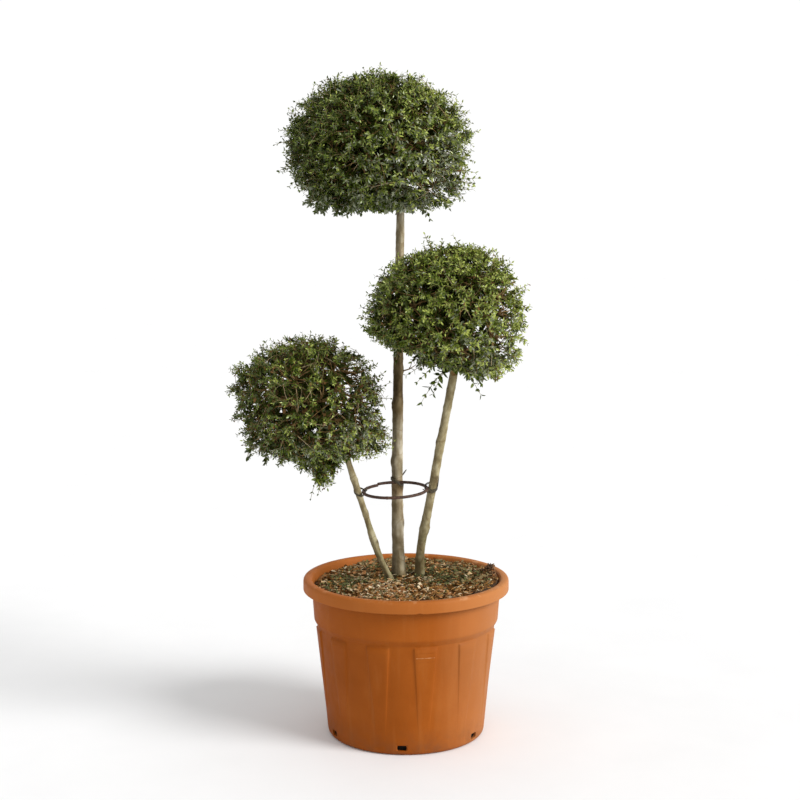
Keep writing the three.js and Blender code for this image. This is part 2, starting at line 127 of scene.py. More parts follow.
def smooth_step(share):
    share = np.clip(share, 0, 1)
    return share * share * (3 - 2 * share)


def polar(radius, turn, height):
    """Turns start at the front and run towards the right."""
    return np.array([radius * math.sin(turn), -radius * math.cos(turn), height])


def ring_faces(rows, columns):
    """Four-cornered faces between rows of a grid whose last column meets its first."""
    row = np.arange(rows - 1)[:, None] * columns
    column = np.arange(columns)[None, :]
    after = (column + 1) % columns
    corners = [row + column, row + after, row + columns + after, row + columns + column]
    return np.stack(corners, -1).reshape(-1, 4)


def rough(point, scale, seed=0.0):
    """Soft noise from -1 to 1 at a place; scale is in bumps per metre."""
    x, y, z = point
    return noise.noise(Vector((x * scale + seed, y * scale - seed, z * scale + 2 * seed)))


print("helpers ready")

# %% [markdown]
# ## Helpers for finishes
# Every finish starts from the Principled shader. The colour comes from noise that runs through a colour
# ramp, and the same sort of noise drives a fine bump. The noise reads object coordinates, which are metres
# here, so a scale of 100 means grains of about a centimetre.

# %% Nodes of a finish
def new_finish(name, colour, roughness, specular):
    finish = bpy.data.materials.new(name)
    finish.use_nodes = True
    shader = finish.node_tree.nodes["Principled BSDF"]
    shader.inputs["Base Color"].default_value = (*colour, 1)
    shader.inputs["Roughness"].default_value = roughness
    shader.inputs["Specular IOR Level"].default_value = specular
    return finish


def add_node(finish, kind, inputs, **settings):
    """A shader node with its settings. Each input takes a value, or a link from another node."""
    node = finish.node_tree.nodes.new(f"ShaderNode{kind}")
    for setting, choice in settings.items():
        setattr(node, setting, choice)
    for socket, value in inputs.items():
        if isinstance(value, bpy.types.NodeSocket):
            finish.node_tree.links.new(value, node.inputs[socket])
        else:
            node.inputs[socket].default_value = value
    return node


def drive(finish, socket, value):
    """Links a value to an input of the Principled shader."""
    finish.node_tree.links.new(value, finish.node_tree.nodes["Principled BSDF"].inputs[socket])


print("nodes ready")

# %% Values over a surface
def place_on(finish, kind="Object"):
    return add_node(finish, "TexCoord", {}).outputs[kind]


def noise_value(finish, scale, stretch=(1, 1, 1), detail=4.0, roughness=0.55):
    mapped = add_node(finish, "Mapping", {"Vector": place_on(finish), "Scale": stretch}).outputs["Vector"]
    grain = {"Vector": mapped, "Scale": scale, "Detail": detail, "Roughness": roughness}
    return add_node(finish, "TexNoise", grain).outputs["Fac"]


def value_range(finish, value, low, high, to_low=0.0, to_high=1.0):
    span = {"Value": value, "From Min": low, "From Max": high, "To Min": to_low, "To Max": to_high}
    return add_node(finish, "MapRange", span).outputs["Result"]


def multiply(finish, first, second):
    return add_node(finish, "Math", {0: first, 1: second}, operation="MULTIPLY").outputs["Value"]


def noise_share(finish, low, high, most, *grain, **fine):
    """A share that grows from nothing to its most while the noise goes from low to high."""
    return value_range(finish, noise_value(finish, *grain, **fine), low, high, 0.0, most)


def place_share(finish, axis, low, high, least=0.0, most=1.0, kind="Object"):
    """A share that grows along an axis: with the place in metres, or with the way that the surface faces."""
    place = add_node(finish, "SeparateXYZ", {"Vector": place_on(finish, kind)}).outputs[axis]
    return value_range(finish, place, low, high, least, most)


def near_spot(finish, spot, reach, most):
    """A share that is largest at a spot and falls to nothing at some distance from it."""
    away = add_node(finish, "VectorMath", {0: place_on(finish), 1: spot}, operation="DISTANCE")
    return value_range(finish, away.outputs["Value"], reach, 0.4 * reach, 0.0, most)


print("values ready: noise, place and distance")

# %% Colours over a surface
MIX_SHARE, MIX_FIRST, MIX_SECOND = 0, 6, 7
MIX_RESULT = 2


def ramp(finish, value, stops):
    """A colour ramp over a value; stops are (position, colour)."""
    node = add_node(finish, "ValToRGB", {"Fac": value})
    while len(node.color_ramp.elements) < len(stops):
        node.color_ramp.elements.new(0.5)
    for element, (position, colour) in zip(node.color_ramp.elements, stops):
        element.position = position
        element.color = (*colour, 1)
    return node.outputs["Color"]


def blend_colours(finish, share, first, second, kind="MIX"):
    """The second colour over the first. A Mix node has one set of sockets for each type of value."""
    first, second = (c if isinstance(c, bpy.types.NodeSocket) else (*c, 1) for c in (first, second))
    sockets = {MIX_SHARE: share, MIX_FIRST: first, MIX_SECOND: second}
    return add_node(finish, "Mix", sockets, data_type="RGBA", blend_type=kind).outputs[MIX_RESULT]


def layered(finish, base, layers):
    """Colours laid over a base one after another: share, colour and, for some, the kind of blending."""
    for share, colour, *kind in layers:
        base = blend_colours(finish, share, base, colour, *kind)
    return base


def add_bump(finish, height, distance, strength):
    bump = add_node(finish, "Bump", {"Height": height, "Distance": distance, "Strength": strength})
    drive(finish, "Normal", bump.outputs["Normal"])


def grained(name, colour, roughness, specular, stops, grain, bump=None):
    """A finish coloured by a grain through a ramp. A bump is a finer grain, its depth and its strength."""
    finish = new_finish(name, colour, roughness, specular)
    drive(finish, "Base Color", ramp(finish, noise_value(finish, **grain), stops))
    if bump:
        fine_grain, depth, strength = bump
        add_bump(finish, noise_value(finish, **fine_grain), depth, strength)
    return finish


print("colours ready: ramps, blends and layers")

# %% [markdown]
# ## Floor and light
# A plain studio: a wide pale floor, an even white surround, and one large soft lamp at the front right,
# because the right side of the tub and the trunk is the bright one in the picture. The surround is shown
# at full white behind the plant but lights it at seven tenths, so that the lamp can model the shapes.

# %% Floor
FLOOR_RADIUS = 25
FLOOR_CORNERS = 96
floor_tones = [(0.3, (0.89, 0.89, 0.89)), (0.7, (0.92, 0.92, 0.92))]
floor_finish = grained("pale_floor", (0.9, 0.9, 0.9), 0.8, 0.2, floor_tones, dict(scale=3.0))
floor_turns = np.linspace(0, FULL_TURN, FLOOR_CORNERS, endpoint=False)
floor_rim = [(FLOOR_RADIUS * math.cos(t), FLOOR_RADIUS * math.sin(t), 0.0) for t in floor_turns]
floor_mesh = bpy.data.meshes.new("floor")
floor_mesh.from_pydata(floor_rim, [], [list(range(FLOOR_CORNERS))])
floor_mesh.materials.append(floor_finish)
floor = place_object("floor", floor_mesh)
print("floor:", 2 * FLOOR_RADIUS, "m across")

# %% Light
SURROUND_LIGHT = 0.70
SURROUND_SEEN = 1.02
LAMP_SPOT = Vector((3.74, -1.99, 3.45))
LAMP_AIM = Vector((0, 0, 0.8))
LAMP_ENERGY = 2.6
LAMP_SPREAD = math.radians(28)
bpy.context.scene.view_settings.view_transform = "Standard"
world = bpy.data.worlds.new("white_surround")
world.use_nodes = True
surround = world.node_tree.nodes["Background"]
surround.inputs["Color"].default_value = (1, 1, 1, 1)
seen = add_node(world, "LightPath", {}).outputs["Is Camera Ray"]
surround_level = value_range(world, seen, 0.0, 1.0, SURROUND_LIGHT, SURROUND_SEEN)
world.node_tree.links.new(surround_level, surround.inputs["Strength"])
bpy.context.scene.world = world
lamp_data = bpy.data.lights.new("key_lamp", "SUN")
lamp_data.energy = LAMP_ENERGY
lamp_data.angle = LAMP_SPREAD
lamp = place_object("key_lamp", lamp_data)
lamp.location = LAMP_SPOT
lamp.rotation_euler = (LAMP_AIM - LAMP_SPOT).to_track_quat("-Z", "Y").to_euler()
print("studio ready: surround and key lamp")

# %% [markdown]
# ## Tub: the section
# The tub is moulded plastic in a terracotta colour: a rolled lip, a smooth band, a sloping shoulder and a
# wall that tapers to the base. A turned shape like this could be a Screw modifier on a curve, but the ribs
# need points that move, so the section is written as corners with a rounding each and then turned by hand.

# %% Tub section
POT_HEIGHT = 0.385
POT_WALL = 0.0045
BASE_RADIUS = 0.191
BASE_ROUNDING = 0.012
RIB_TOP = 0.267
RIB_TOP_EDGE = RIB_TOP - 0.003
SHOULDER_RADIUS = 0.216
SHOULDER_FOOT = 0.270
BAND_RADIUS = 0.224
BAND_FOOT = 0.284
LIP_FOOT = 0.356
LIP_HOLLOW = 0.3785
LIP_RADIUS = 0.250
LIP_INNER_RADIUS = 0.2455
NECK_RADIUS = 0.229
TALLEST_ROW = 0.016


def rounded_section(corners, steps=5):
    """Corners are (radius, height, rounding); each rounded corner becomes a short arc."""
    spots = np.array([corner[:2] for corner in corners])
    section = [spots[0]]
    for i in range(1, len(corners) - 1):
        before = spots[i - 1] - spots[i]
        after = spots[i + 1] - spots[i]
        cut = min(corners[i][2], 0.45 * np.linalg.norm(before), 0.45 * np.linalg.norm(after))
        if cut <= 0:
            section.append(spots[i])
            continue
        start = spots[i] + unit(before) * cut
        end = spots[i] + unit(after) * cut
        for t in np.linspace(0, 1, steps):
            section.append((1 - t) ** 2 * start + 2 * t * (1 - t) * spots[i] + t * t * end)
    section.append(spots[-1])
    return np.array(section)


def extra_rows(section, tallest):
    """Long straight stretches get more rows, so that the ribs can bend them."""
    rows = [section[0]]
    for a, b in zip(section[:-1], section[1:]):
        count = max(1, math.ceil(abs(b[1] - a[1]) / tallest))
        rows.extend(a + (b - a) * k / count for k in range(1, count + 1))
    return np.array(rows)


def wall_radius(height):
    climbed = (height - BASE_ROUNDING) / (SHOULDER_FOOT - BASE_ROUNDING)
    return BASE_RADIUS + (SHOULDER_RADIUS - BASE_RADIUS) * climbed


outer_corners = [
    (0.0, 0.0, 0), (BASE_RADIUS, 0.0, BASE_ROUNDING), (wall_radius(RIB_TOP_EDGE), RIB_TOP_EDGE, 0),
    (wall_radius(RIB_TOP), RIB_TOP, 0), (SHOULDER_RADIUS, SHOULDER_FOOT, 0.001),
    (BAND_RADIUS, BAND_FOOT, 0.0025), (NECK_RADIUS, LIP_FOOT, 0.001)]
lip_corners = [
    (NECK_RADIUS, LIP_HOLLOW, 0.002), (LIP_INNER_RADIUS, LIP_HOLLOW, 0.004),
    (LIP_INNER_RADIUS, LIP_FOOT, 0.0015), (LIP_RADIUS, LIP_FOOT, 0.0025), (LIP_RADIUS, POT_HEIGHT, 0.011)]
inner_corners = [
    (0.230, POT_HEIGHT, 0.007), (0.2245, 0.366, 0.006), (0.2195, BAND_FOOT, 0.004),
    (0.2115, SHOULDER_FOOT, 0.004), (0.1865, BASE_ROUNDING, 0.007), (0.179, POT_WALL, 0.004),
    (0.0, POT_WALL, 0)]
tub_section = extra_rows(rounded_section(outer_corners + lip_corners + inner_corners), TALLEST_ROW)
print("tub section:", len(tub_section), "rows")

# %% [markdown]
# ## Tub: ribs, slots and lip
# Twelve broad ribs stand proud of the wall. They are widest under the shoulder, narrow downwards and run
# out above the base. Each rib gets its own columns of points, close together on its flanks, so the edges
# stay crisp without a fine mesh everywhere. The drain slots are cut afterwards with a Boolean modifier,
# which needs closed meshes, so the points that meet on the tub's axis are welded first.

# %% Tub ribs
RIB_COUNT = 12
RIB_PITCH = FULL_TURN / RIB_COUNT
RIB_FIRST_TURN = math.radians(12)
RIB_FLANK = math.radians(1.0)
RIB_FOOT = 0.040
RIB_HEIGHT = 0.004
RIB_COLUMNS = (5, 5, 7, 5, 5)
LIP_NICK_TURN = math.radians(6.7)
LIP_NICK_WIDTH = math.radians(0.9)
LIP_NICK_DEPTH = 0.0025


def spread_columns(edges):
    """The columns of one rib: gap, flank, top, flank and gap."""
    stretches = zip(edges[:-1], edges[1:], RIB_COLUMNS)
    return np.concatenate([np.linspace(a, b, count, endpoint=False) for a, b, count in stretches])


def rib_columns(height):
    """Turn of each column beside a rib's middle, and how far up the rib's flank it is."""
    share = np.clip((height - RIB_FOOT) / (SHOULDER_FOOT - RIB_FOOT), 0, 1)
    half = math.radians(3.0) + share * math.radians(3.9)
    outer = half + RIB_FLANK
    turns = spread_columns([-RIB_PITCH / 2, -outer, -half, half, outer, RIB_PITCH / 2])
    return turns, smooth_step(spread_columns([0, 0, 1, 1, 0, 0]))


def rib_lift(height):
    """How far a rib stands out of the wall: nothing at its foot, most at its top edge."""
    on_rib = RIB_FOOT < height < RIB_TOP - 1e-6
    return RIB_HEIGHT * (height - RIB_FOOT) / (RIB_TOP - RIB_FOOT) if on_rib else 0.0


tub_points = []
outer_rows = int(np.argmax(tub_section[:, 1] > BAND_FOOT - 1e-6))
for row, (radius, height) in enumerate(tub_section):
    turns, flank = rib_columns(height)
    lift = rib_lift(height) if row <= outer_rows else 0.0
    on_lip_edge = radius > 0.24 and abs(height - LIP_FOOT) < 0.004
    for rib in range(RIB_COUNT):
        for turn, up in zip(turns + RIB_FIRST_TURN + rib * RIB_PITCH, flank):
            away = (turn - LIP_NICK_TURN) / LIP_NICK_WIDTH
            nick = LIP_NICK_DEPTH * math.exp(-away * away) if on_lip_edge else 0.0
            tub_points.append(polar(radius + lift * up, turn, height + nick))
tub_columns = RIB_COUNT * sum(RIB_COLUMNS)
print("tub mesh:", len(tub_section), "rows of", tub_columns, "points")

# %% [markdown]
# ## Tub: finish
# The plastic is matt and a little chalky. Broad soft blotches, faint upright weathering streaks, dark specks,
# a paler lip, pale scuff marks on the lip and some earth near the foot keep it from looking new. As painted
# light, everything from the band up is paler against the lip's shade, the right side that faces the lamp has
# a painted sheen, and the lip's scuff marks grow towards that side. They are layers: each has a share that
# says where it lies, and a colour.

# %% Tub finish
tub_finish = new_finish("terracotta_plastic", (0.33, 0.08, 0.012), 0.6, 0.08)
tub_blotches = ramp(tub_finish, noise_value(tub_finish, 7.0), [
    (0.30, (0.262, 0.062, 0.004)), (0.52, (0.300, 0.073, 0.006)), (0.72, (0.340, 0.088, 0.009))])
lip_top = place_share(tub_finish, "Z", 0.3780, 0.3835)
# painted light: the share of the lip's real scuff marks grows towards the lit right side
lip_painted_light = place_share(tub_finish, "X", -0.12, 0.10, 0.25)
lip_patches = noise_share(tub_finish, 0.54, 0.64, 0.5, 38.0, detail=6.0)
lip_scuffs_and_light = multiply(tub_finish, multiply(tub_finish, lip_top, lip_painted_light), lip_patches)
foot_height = place_share(tub_finish, "Z", 0.07, 0.005)
foot_patches = noise_share(tub_finish, 0.40, 0.70, 0.55, 30.0, detail=6.0)
tub_layers = {
    "streaks": (noise_share(tub_finish, 0.52, 0.80, 0.24, 46.0, (1, 1, 0.06)), (0.44, 0.17, 0.045)),
    "specks": (noise_share(tub_finish, 0.60, 0.74, 0.22, 420.0, detail=2.0), (0.20, 0.055, 0.014)),
    # painted light: from the band up the plastic is blended paler, against the shade that the lip casts on
    # the band
    "band": (place_share(tub_finish, "Z", 0.280, 0.290, 0.0, 0.22), (0.46, 0.125, 0.018)),
    "lip": (place_share(tub_finish, "Z", 0.3545, 0.3580, 0.0, 0.24), (0.56, 0.215, 0.060)),
    # painted sheen: the right side, which faces the lamp, is blended towards a paler colour
    "painted sheen side": (place_share(tub_finish, "X", 0.06, 0.23, 0.0, 0.46), (0.58, 0.270, 0.105)),
    # scuff marks on the lip top, more of them on the lit right side as painted light
    "scuffs and painted light": (lip_scuffs_and_light, (0.66, 0.36, 0.18)),
    "earth": (multiply(tub_finish, foot_height, foot_patches), (0.16, 0.065, 0.028))}
drive(tub_finish, "Base Color", layered(tub_finish, tub_blotches, tub_layers.values()))
drive(tub_finish, "Roughness", value_range(tub_finish, noise_value(tub_finish, 22.0), 0.3, 0.7, 0.46, 0.64))
add_bump(tub_finish, noise_value(tub_finish, 300.0, detail=3.0), 0.0006, 0.35)
print("tub finish:", list(tub_layers))

# %% Tub with its drain slots
tub = add_piece("tub", tub_points, ring_faces(len(tub_section), tub_columns), tub_finish, "pot", ["pot"])
weld(tub.data)
SLOT_COUNT = 6
SLOT_FIRST_TURN = math.radians(-3)
SLOT_WIDTH = 0.022
SLOT_HEIGHT = 0.013
SLOT_MIDDLE = 0.019
SLOT_REACH = (0.150, 0.215)
SLOT_OUTLINE = [(-1, -0.6), (-0.8, -1), (0.8, -1), (1, -0.6), (1, 0.6), (0.8, 1), (-0.8, 1), (-1, 0.6)]


def slot_cutter():
    """Blocks with cut corners through the foot of the wall, all in one mesh."""
    points = []
    faces = []
    for i in range(SLOT_COUNT):
        turn = SLOT_FIRST_TURN + i * FULL_TURN / SLOT_COUNT
        sideways = np.array([math.cos(turn), math.sin(turn), 0])
        for depth in SLOT_REACH:
            for side, up in SLOT_OUTLINE:
                edge = polar(depth, turn, SLOT_MIDDLE + up * SLOT_HEIGHT / 2)
                points.append(edge + sideways * side * SLOT_WIDTH / 2)
        inner = [16 * i + k for k in range(8)]
        outer = [k + 8 for k in inner]
        faces.append(inner)
        faces.append(outer[::-1])
        faces.extend([inner[k], outer[k], outer[k - 7], inner[k - 7]] for k in range(8))
    mesh = bpy.data.meshes.new("slot_cutter")
    mesh.from_pydata(points, [], faces)
    weld(mesh)
    return place_object("slot_cutter", mesh)


cutter = slot_cutter()
cut = tub.modifiers.new("drain_slots", "BOOLEAN")
cut.object = cutter
cut.solver = "EXACT"
bpy.context.view_layer.update()
whole_mesh = tub.data
tub.data = bpy.data.meshes.new_from_object(tub.evaluated_get(bpy.context.evaluated_depsgraph_get()))
tub.modifiers.clear()
bpy.data.objects.remove(cutter)
bpy.data.meshes.remove(whole_mesh)
print("tub after cutting:", len(tub.data.polygons), "faces")

# %% [markdown]
# ## Soil
# The tub is filled with potting mix to just below the lip. The surface is uneven and falls towards the left
# and the back right. It is a closed turned shape, so that earth also shows behind the drain slots.

# %% Soil body
SOIL_LEVEL = 0.377
SOIL_REACH = 0.225
SOIL_LEVEL_PART = 0.075
SOIL_FALL_LEFT = 0.016
SOIL_RISE_RIGHT = 0.005
SOIL_FALL_BACK_RIGHT = 0.3
SOIL_TURNS = 140
CLUMP_SPOT = (0.2105, 0.045)


def soil_height(x, y):
    outwards = min(max((math.hypot(x, y) - SOIL_LEVEL_PART) / (SOIL_REACH - SOIL_LEVEL_PART), 0.0), 1.0)
    lumps = 0.0045 * rough((x, y, 0), 22, 3.1) + 0.002 * rough((x, y, 0), 70, 7.7)
    tilt = (SOIL_RISE_RIGHT if x > 0 else SOIL_FALL_LEFT) * x / SOIL_REACH
    tilt -= SOIL_FALL_BACK_RIGHT * max(x, 0.0) * max(y, 0.0)
    from_clump = math.hypot(x - CLUMP_SPOT[0], y - CLUMP_SPOT[1]) / 0.024
    heap = 0.010 * math.exp(-from_clump ** 2)
    return SOIL_LEVEL + lumps * (0.35 + 0.65 * outwards) + tilt * outwards + heap


def on_soil(spots, rise):
    """Spots seen from above, lifted to the soil's surface and a rise over it."""
    return np.column_stack([spots, np.array([soil_height(x, y) for x, y in spots]) + rise])


soil_side = [
    (0.0, 0.0050), (0.1785, 0.0050), (0.1858, 0.0125), (0.2108, 0.268), (0.2188, 0.284), (0.2222, 0.345)]
soil_section = soil_side + [(radius, None) for radius in np.linspace(0.2228, 0.0, 45)]
soil_points = []
for radius, height in soil_section:
    for turn in np.linspace(0, FULL_TURN, SOIL_TURNS, endpoint=False):
        spot = polar(radius, turn, height or 0.0)
        if height is None:
            spot[2] = soil_height(spot[0], spot[1])
        soil_points.append(spot)
soil_finish = new_finish("potting_mix", (0.05, 0.03, 0.018), 0.95, 0.2)
soil_crumbs = ramp(soil_finish, noise_value(soil_finish, 130.0, detail=8.0, roughness=0.7), [
    (0.32, (0.018, 0.010, 0.006)), (0.50, (0.060, 0.034, 0.019)), (0.62, (0.12, 0.068, 0.036)),
    (0.74, (0.20, 0.125, 0.070))])
# painted shade: the potting mix darkens to nearly black below 0.36 m, where it shows in the gap under the rim
# and behind the drain slots
soil_painted_shade = place_share(soil_finish, "Z", 0.36, 0.30)
drive(soil_finish, "Base Color", blend_colours(soil_finish, soil_painted_shade, soil_crumbs, (0.006, 0.004, 0.003)))
add_bump(soil_finish, noise_value(soil_finish, 260.0, detail=6.0), 0.003, 0.9)
soil_faces = ring_faces(len(soil_section), SOIL_TURNS)
soil = add_piece("potting_mix", soil_points, soil_faces, soil_finish, "soil", ["soil"])
weld(soil.data)

# %% [markdown]
# ## Bark mulch
# Chips of bark cover the soil: brown, reddish, tan and a few pale ones, most of them about a centimetre
# long. A particle system could scatter them, but chips that are written straight into one mesh for each
# colour stay light and travel well. A chip is a flat eight-cornered block with its corners pushed about.

# %% Scatter the chips
LIMB_FEET = {"trunk": (-0.017, 0.036), "left_stem": (-0.039, 0.0), "right_stem": (0.034, 0.036)}
CHIP_CORNERS = np.array([(x, y, z) for z in (-1, 1) for x, y in ((-1, -1), (1, -1), (1, 1), (-1, 1))], float)
CHIP_FACES = np.array([(0, 3, 2, 1), (4, 5, 6, 7), (0, 1, 5, 4), (1, 2, 6, 5), (2, 3, 7, 6), (3, 0, 4, 7)])
CHIP_COUNT = 6600
CHIP_LENGTH = 0.0086
MULCH_RADIUS = 0.2222
MULCH_RIM = 0.2240
LIMB_CLEARANCE = 0.014
dice = np.random.default_rng(51)


def any_turn(count, tilt):
    """Turning matrices: any turn about the upright, then a tilt to one side."""
    turns = dice.uniform(0, FULL_TURN, count)
    tilts = dice.normal(0, tilt, count)
    sides = dice.normal(0, tilt, count)
    matrices = [Matrix.Rotation(t, 3, "Z") @ Matrix.Rotation(a, 3, "X") @ Matrix.Rotation(b, 3, "Y")
                for t, a, b in zip(turns, tilts, sides)]
    return np.array([[list(row) for row in m] for m in matrices])


def scatter_chips(spots, lengths, rise, tilt=0.32):
    count = len(spots)
    widths = lengths * dice.uniform(0.24, 0.58, count)
    depths = lengths * dice.uniform(0.09, 0.20, count)
    sizes = np.stack([lengths, widths, depths], 1)
    uneven = 1 + dice.uniform(-0.35, 0.25, (count, 8, 3))
    corners = CHIP_CORNERS[None] * uneven * sizes[:, None] / 2
    turned = np.einsum("nij,nkj->nki", any_turn(count, tilt), corners)
    faces = CHIP_FACES[None] + 8 * np.arange(count)[:, None, None]
    return (turned + on_soil(spots, rise)[:, None]).reshape(-1, 3), faces.reshape(-1, 4)


def distances(spots, middle):
    return np.hypot(*(spots - middle).T)


chip_turns = dice.uniform(0, FULL_TURN, CHIP_COUNT)
chip_radii = MULCH_RADIUS * np.sqrt(dice.uniform(0, 1, CHIP_COUNT))
chip_spots = np.stack([chip_radii * np.sin(chip_turns), -chip_radii * np.cos(chip_turns)], 1)
chip_lengths = np.clip(dice.lognormal(math.log(CHIP_LENGTH), 0.42, CHIP_COUNT), 0.004, 0.022)
chip_rise = dice.uniform(-0.001, 0.0055, CHIP_COUNT)
chip_kept = chip_radii + chip_lengths * 0.30 < MULCH_RIM
for foot in LIMB_FEET.values():
    chip_kept &= distances(chip_spots, foot) > LIMB_CLEARANCE + chip_lengths / 2
print("chips kept:", int(chip_kept.sum()), "of", CHIP_COUNT)

# %% [markdown]
# ## Bark mulch: colours
# Each chip gets a score by chance, and the score picks its colour. More tan chips lie at the front, and more
# olive ones on the damp side, away from the light.

# %% Colour the chips
CHIP_TINTS = {
    "dark": (0.118, 0.050, 0.010), "brown": (0.345, 0.180, 0.054), "reddish": (0.395, 0.185, 0.072),
    "tan": (0.590, 0.400, 0.210), "pale": (0.74, 0.60, 0.40), "olive": (0.240, 0.182, 0.087)}
CHIP_EDGES = [0.0, 0.41, 0.66, 0.81, 0.95, 9.0, 10.0]
OLIVE_SCORE = 9.5
TAN_SPOT = (-0.045, -0.11)
TAN_REACH = 0.09
DAMP_WAY = np.array([0.45, 0.89])
CRACK_SHADE = (0.52, 0.38, 0.24)
chip_grain = dict(scale=190.0, detail=5.0)
chip_bump = (dict(scale=600.0, stretch=(1, 0.25, 1)), 0.0008, 0.7)
tan_pull = 0.26 * np.exp(-(distances(chip_spots, TAN_SPOT) / TAN_REACH) ** 2)
chip_score = dice.uniform(0, 1, CHIP_COUNT) + tan_pull
damp_pull = 0.26 * smooth_step((chip_spots @ DAMP_WAY + 0.07) / 0.14) + 0.08
chip_score[dice.random(CHIP_COUNT) < damp_pull] = OLIVE_SCORE
for (tint, colour), low, high in zip(CHIP_TINTS.items(), CHIP_EDGES[:-1], CHIP_EDGES[1:]):
    chosen = chip_kept & (chip_score >= low) & (chip_score < high)
    cracks = tuple(c * s for c, s in zip(colour, CRACK_SHADE))
    worn = tuple(min(1.5 * c, 0.8) for c in colour)
    shades = [(0.30, cracks), (0.55, colour), (0.75, worn)]
    chip_finish = grained(f"bark_chip_{tint}", colour, 0.85, 0.10, shades, chip_grain, chip_bump)
    chips = scatter_chips(chip_spots[chosen], chip_lengths[chosen], chip_rise[chosen])
    add_piece(f"mulch_{tint}", *chips, chip_finish, "soil", smooth=False)

# %% [markdown]
# ## Limbs: reading the solids
# The trunk and the two side stems are smooth grey-brown bark with low knots and the rings of old buds. The
# solids are coarse round limbs cut into level rings. Their rings are measured here, so that the fine bark
# follows the same lean and taper without any fitting.

# %% Measure the rings of a limb
RING_SPAN = 0.0006
RING_LEAST_POINTS = 6
AXIS_CLEARANCE = 0.003


def measure_limb(node):
    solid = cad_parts[node].data
    points = np.unique(np.round([v.co[:] for v in solid.vertices], 5), axis=0)
    middles = []
    radii = []
    for level in np.unique(np.round(points[:, 2], 3)):
        ring = points[np.abs(points[:, 2] - level) < RING_SPAN]
        if len(ring) < RING_LEAST_POINTS:
            continue
        edge = ring[distances(ring[:, :2], ring[:, :2].mean(0)) > AXIS_CLEARANCE]
        middle = edge.mean(0)
        middles.append(middle)
        radii.append(distances(edge[:, :2], middle[:2]).mean())
    print(f"{node}: {len(middles)} rings, {1000 * radii[0]:.1f} to {1000 * radii[-1]:.1f} mm thick in radius")
    return np.array(middles), np.array(radii)


def limb_at(limb, heights):
    """Middle and radius of a limb at each height."""
    middles, radii = limb
    x, y = (np.interp(heights, middles[:, 2], middles[:, k]) for k in (0, 1))
    return np.stack([x, y, heights], 1), np.interp(heights, middles[:, 2], radii)


limbs = {node: measure_limb(node) for node in LIMB_FEET}

# %% [markdown]
# ## Limbs: bark
# Bark relief is put into the points themselves: long low ridges, fine wrinkles, rings where old buds stood
# and a few knots with a dent in the middle. A bump texture alone would leave the outline smooth. The finish
# adds faint ring scars and dark knots, painted shade on the side away from the lamp, and stops over the
# height:
# a darker foot and, on the trunk, lighter stretches as painted light, a darker brown band at the hoop's tie
# and the painted shadow of the right ball.

# %% Bark relief
RIDGE_HEIGHT = 0.0011
WRINKLE_HEIGHT = 0.0005
BUD_RING_HEIGHT = 0.0007
BUD_RING_WIDTH = 0.0045
BUD_RING_PITCH = 0.055
BARK_ROW = 0.0035


def bark_relief(turn, height, seed):
    x, y = math.cos(turn) * 0.02, math.sin(turn) * 0.02
    ridges = RIDGE_HEIGHT * noise.noise(Vector((x * 90 + seed, y * 90, height * 14)))
    wrinkles = WRINKLE_HEIGHT * noise.noise(Vector((x * 240, y * 240 + seed, height * 90)))
    return ridges + wrinkles


def knot_relief(knot, turn, height, radius):
    knot_turn, knot_height, size, proud = knot
    side = math.atan2(math.sin(turn - knot_turn), math.cos(turn - knot_turn)) * radius / size
    away = math.hypot(side, (height - knot_height) / size)
    return proud * (math.exp(-away * away) - 0.55 * math.exp(-(away / 0.4) ** 2))


def bark_limb(limb, knots, seed, sides):
    low = limb[0][0, 2] - 0.004
    high = limb[0][-1, 2] + 0.003
    heights = np.arange(low, high, BARK_ROW)
    middles, radii = limb_at(limb, heights)
    bud_rings = np.arange(low + 0.06, high, BUD_RING_PITCH)
    bud_rings += np.random.default_rng(seed).uniform(-0.018, 0.018, len(bud_rings))
    points = []
    for middle, radius in zip(middles, radii):
        height = middle[2]
        buds = sum(BUD_RING_HEIGHT * math.exp(-((height - ring) / BUD_RING_WIDTH) ** 2) for ring in bud_rings)
        for turn in np.linspace(0, FULL_TURN, sides, endpoint=False):
            out = radius + bark_relief(turn, height, seed) + buds
            out += sum(knot_relief(knot, turn, height, radius) for knot in knots)
            points.append(middle + polar(out, turn, 0))
    points.append(middles[-1])
    quads = ring_faces(len(heights), sides)
    last = (len(heights) - 1) * sides + np.arange(sides)
    cap = np.stack([last, np.roll(last, -1), np.full(sides, len(points) - 1)], 1)
    return np.array(points), np.concatenate([quads[:, [0, 1, 2]], cap, quads[:, [0, 2, 3]]])


print("bark relief up to", round(1000 * (RIDGE_HEIGHT + WRINKLE_HEIGHT + BUD_RING_HEIGHT), 1), "mm")

# %% Knots: turn, height, size and how far each stands out
FRONT, RIGHT, BACK, LEFT = 0.0, math.pi / 2, math.pi, -math.pi / 2
LIMB_KNOTS = {
    "trunk": [
        (LEFT + 0.5, 0.662, 0.011, 0.0040), (LEFT + 0.2, 0.800, 0.010, 0.0036),
        (RIGHT - 0.65, 0.600, 0.011, 0.0030), (RIGHT - 0.25, 0.510, 0.012, 0.0030),
        (RIGHT, 0.888, 0.008, 0.0030), (BACK, 0.730, 0.010, 0.0030), (LEFT, 1.020, 0.010, 0.0030),
        (RIGHT - 0.6, 1.130, 0.009, 0.0028), (BACK + 0.5, 0.950, 0.010, 0.0030)],
    "left_stem": [
        (RIGHT, 0.553, 0.007, 0.0026), (RIGHT - 0.6, 0.478, 0.007, 0.0024), (LEFT, 0.610, 0.006, 0.0014)],
    "right_stem": [
        (RIGHT, 0.500, 0.009, 0.0028), (LEFT + 0.4, 0.730, 0.008, 0.0026),
        (FRONT + 0.5, 0.640, 0.008, 0.0022)],
}


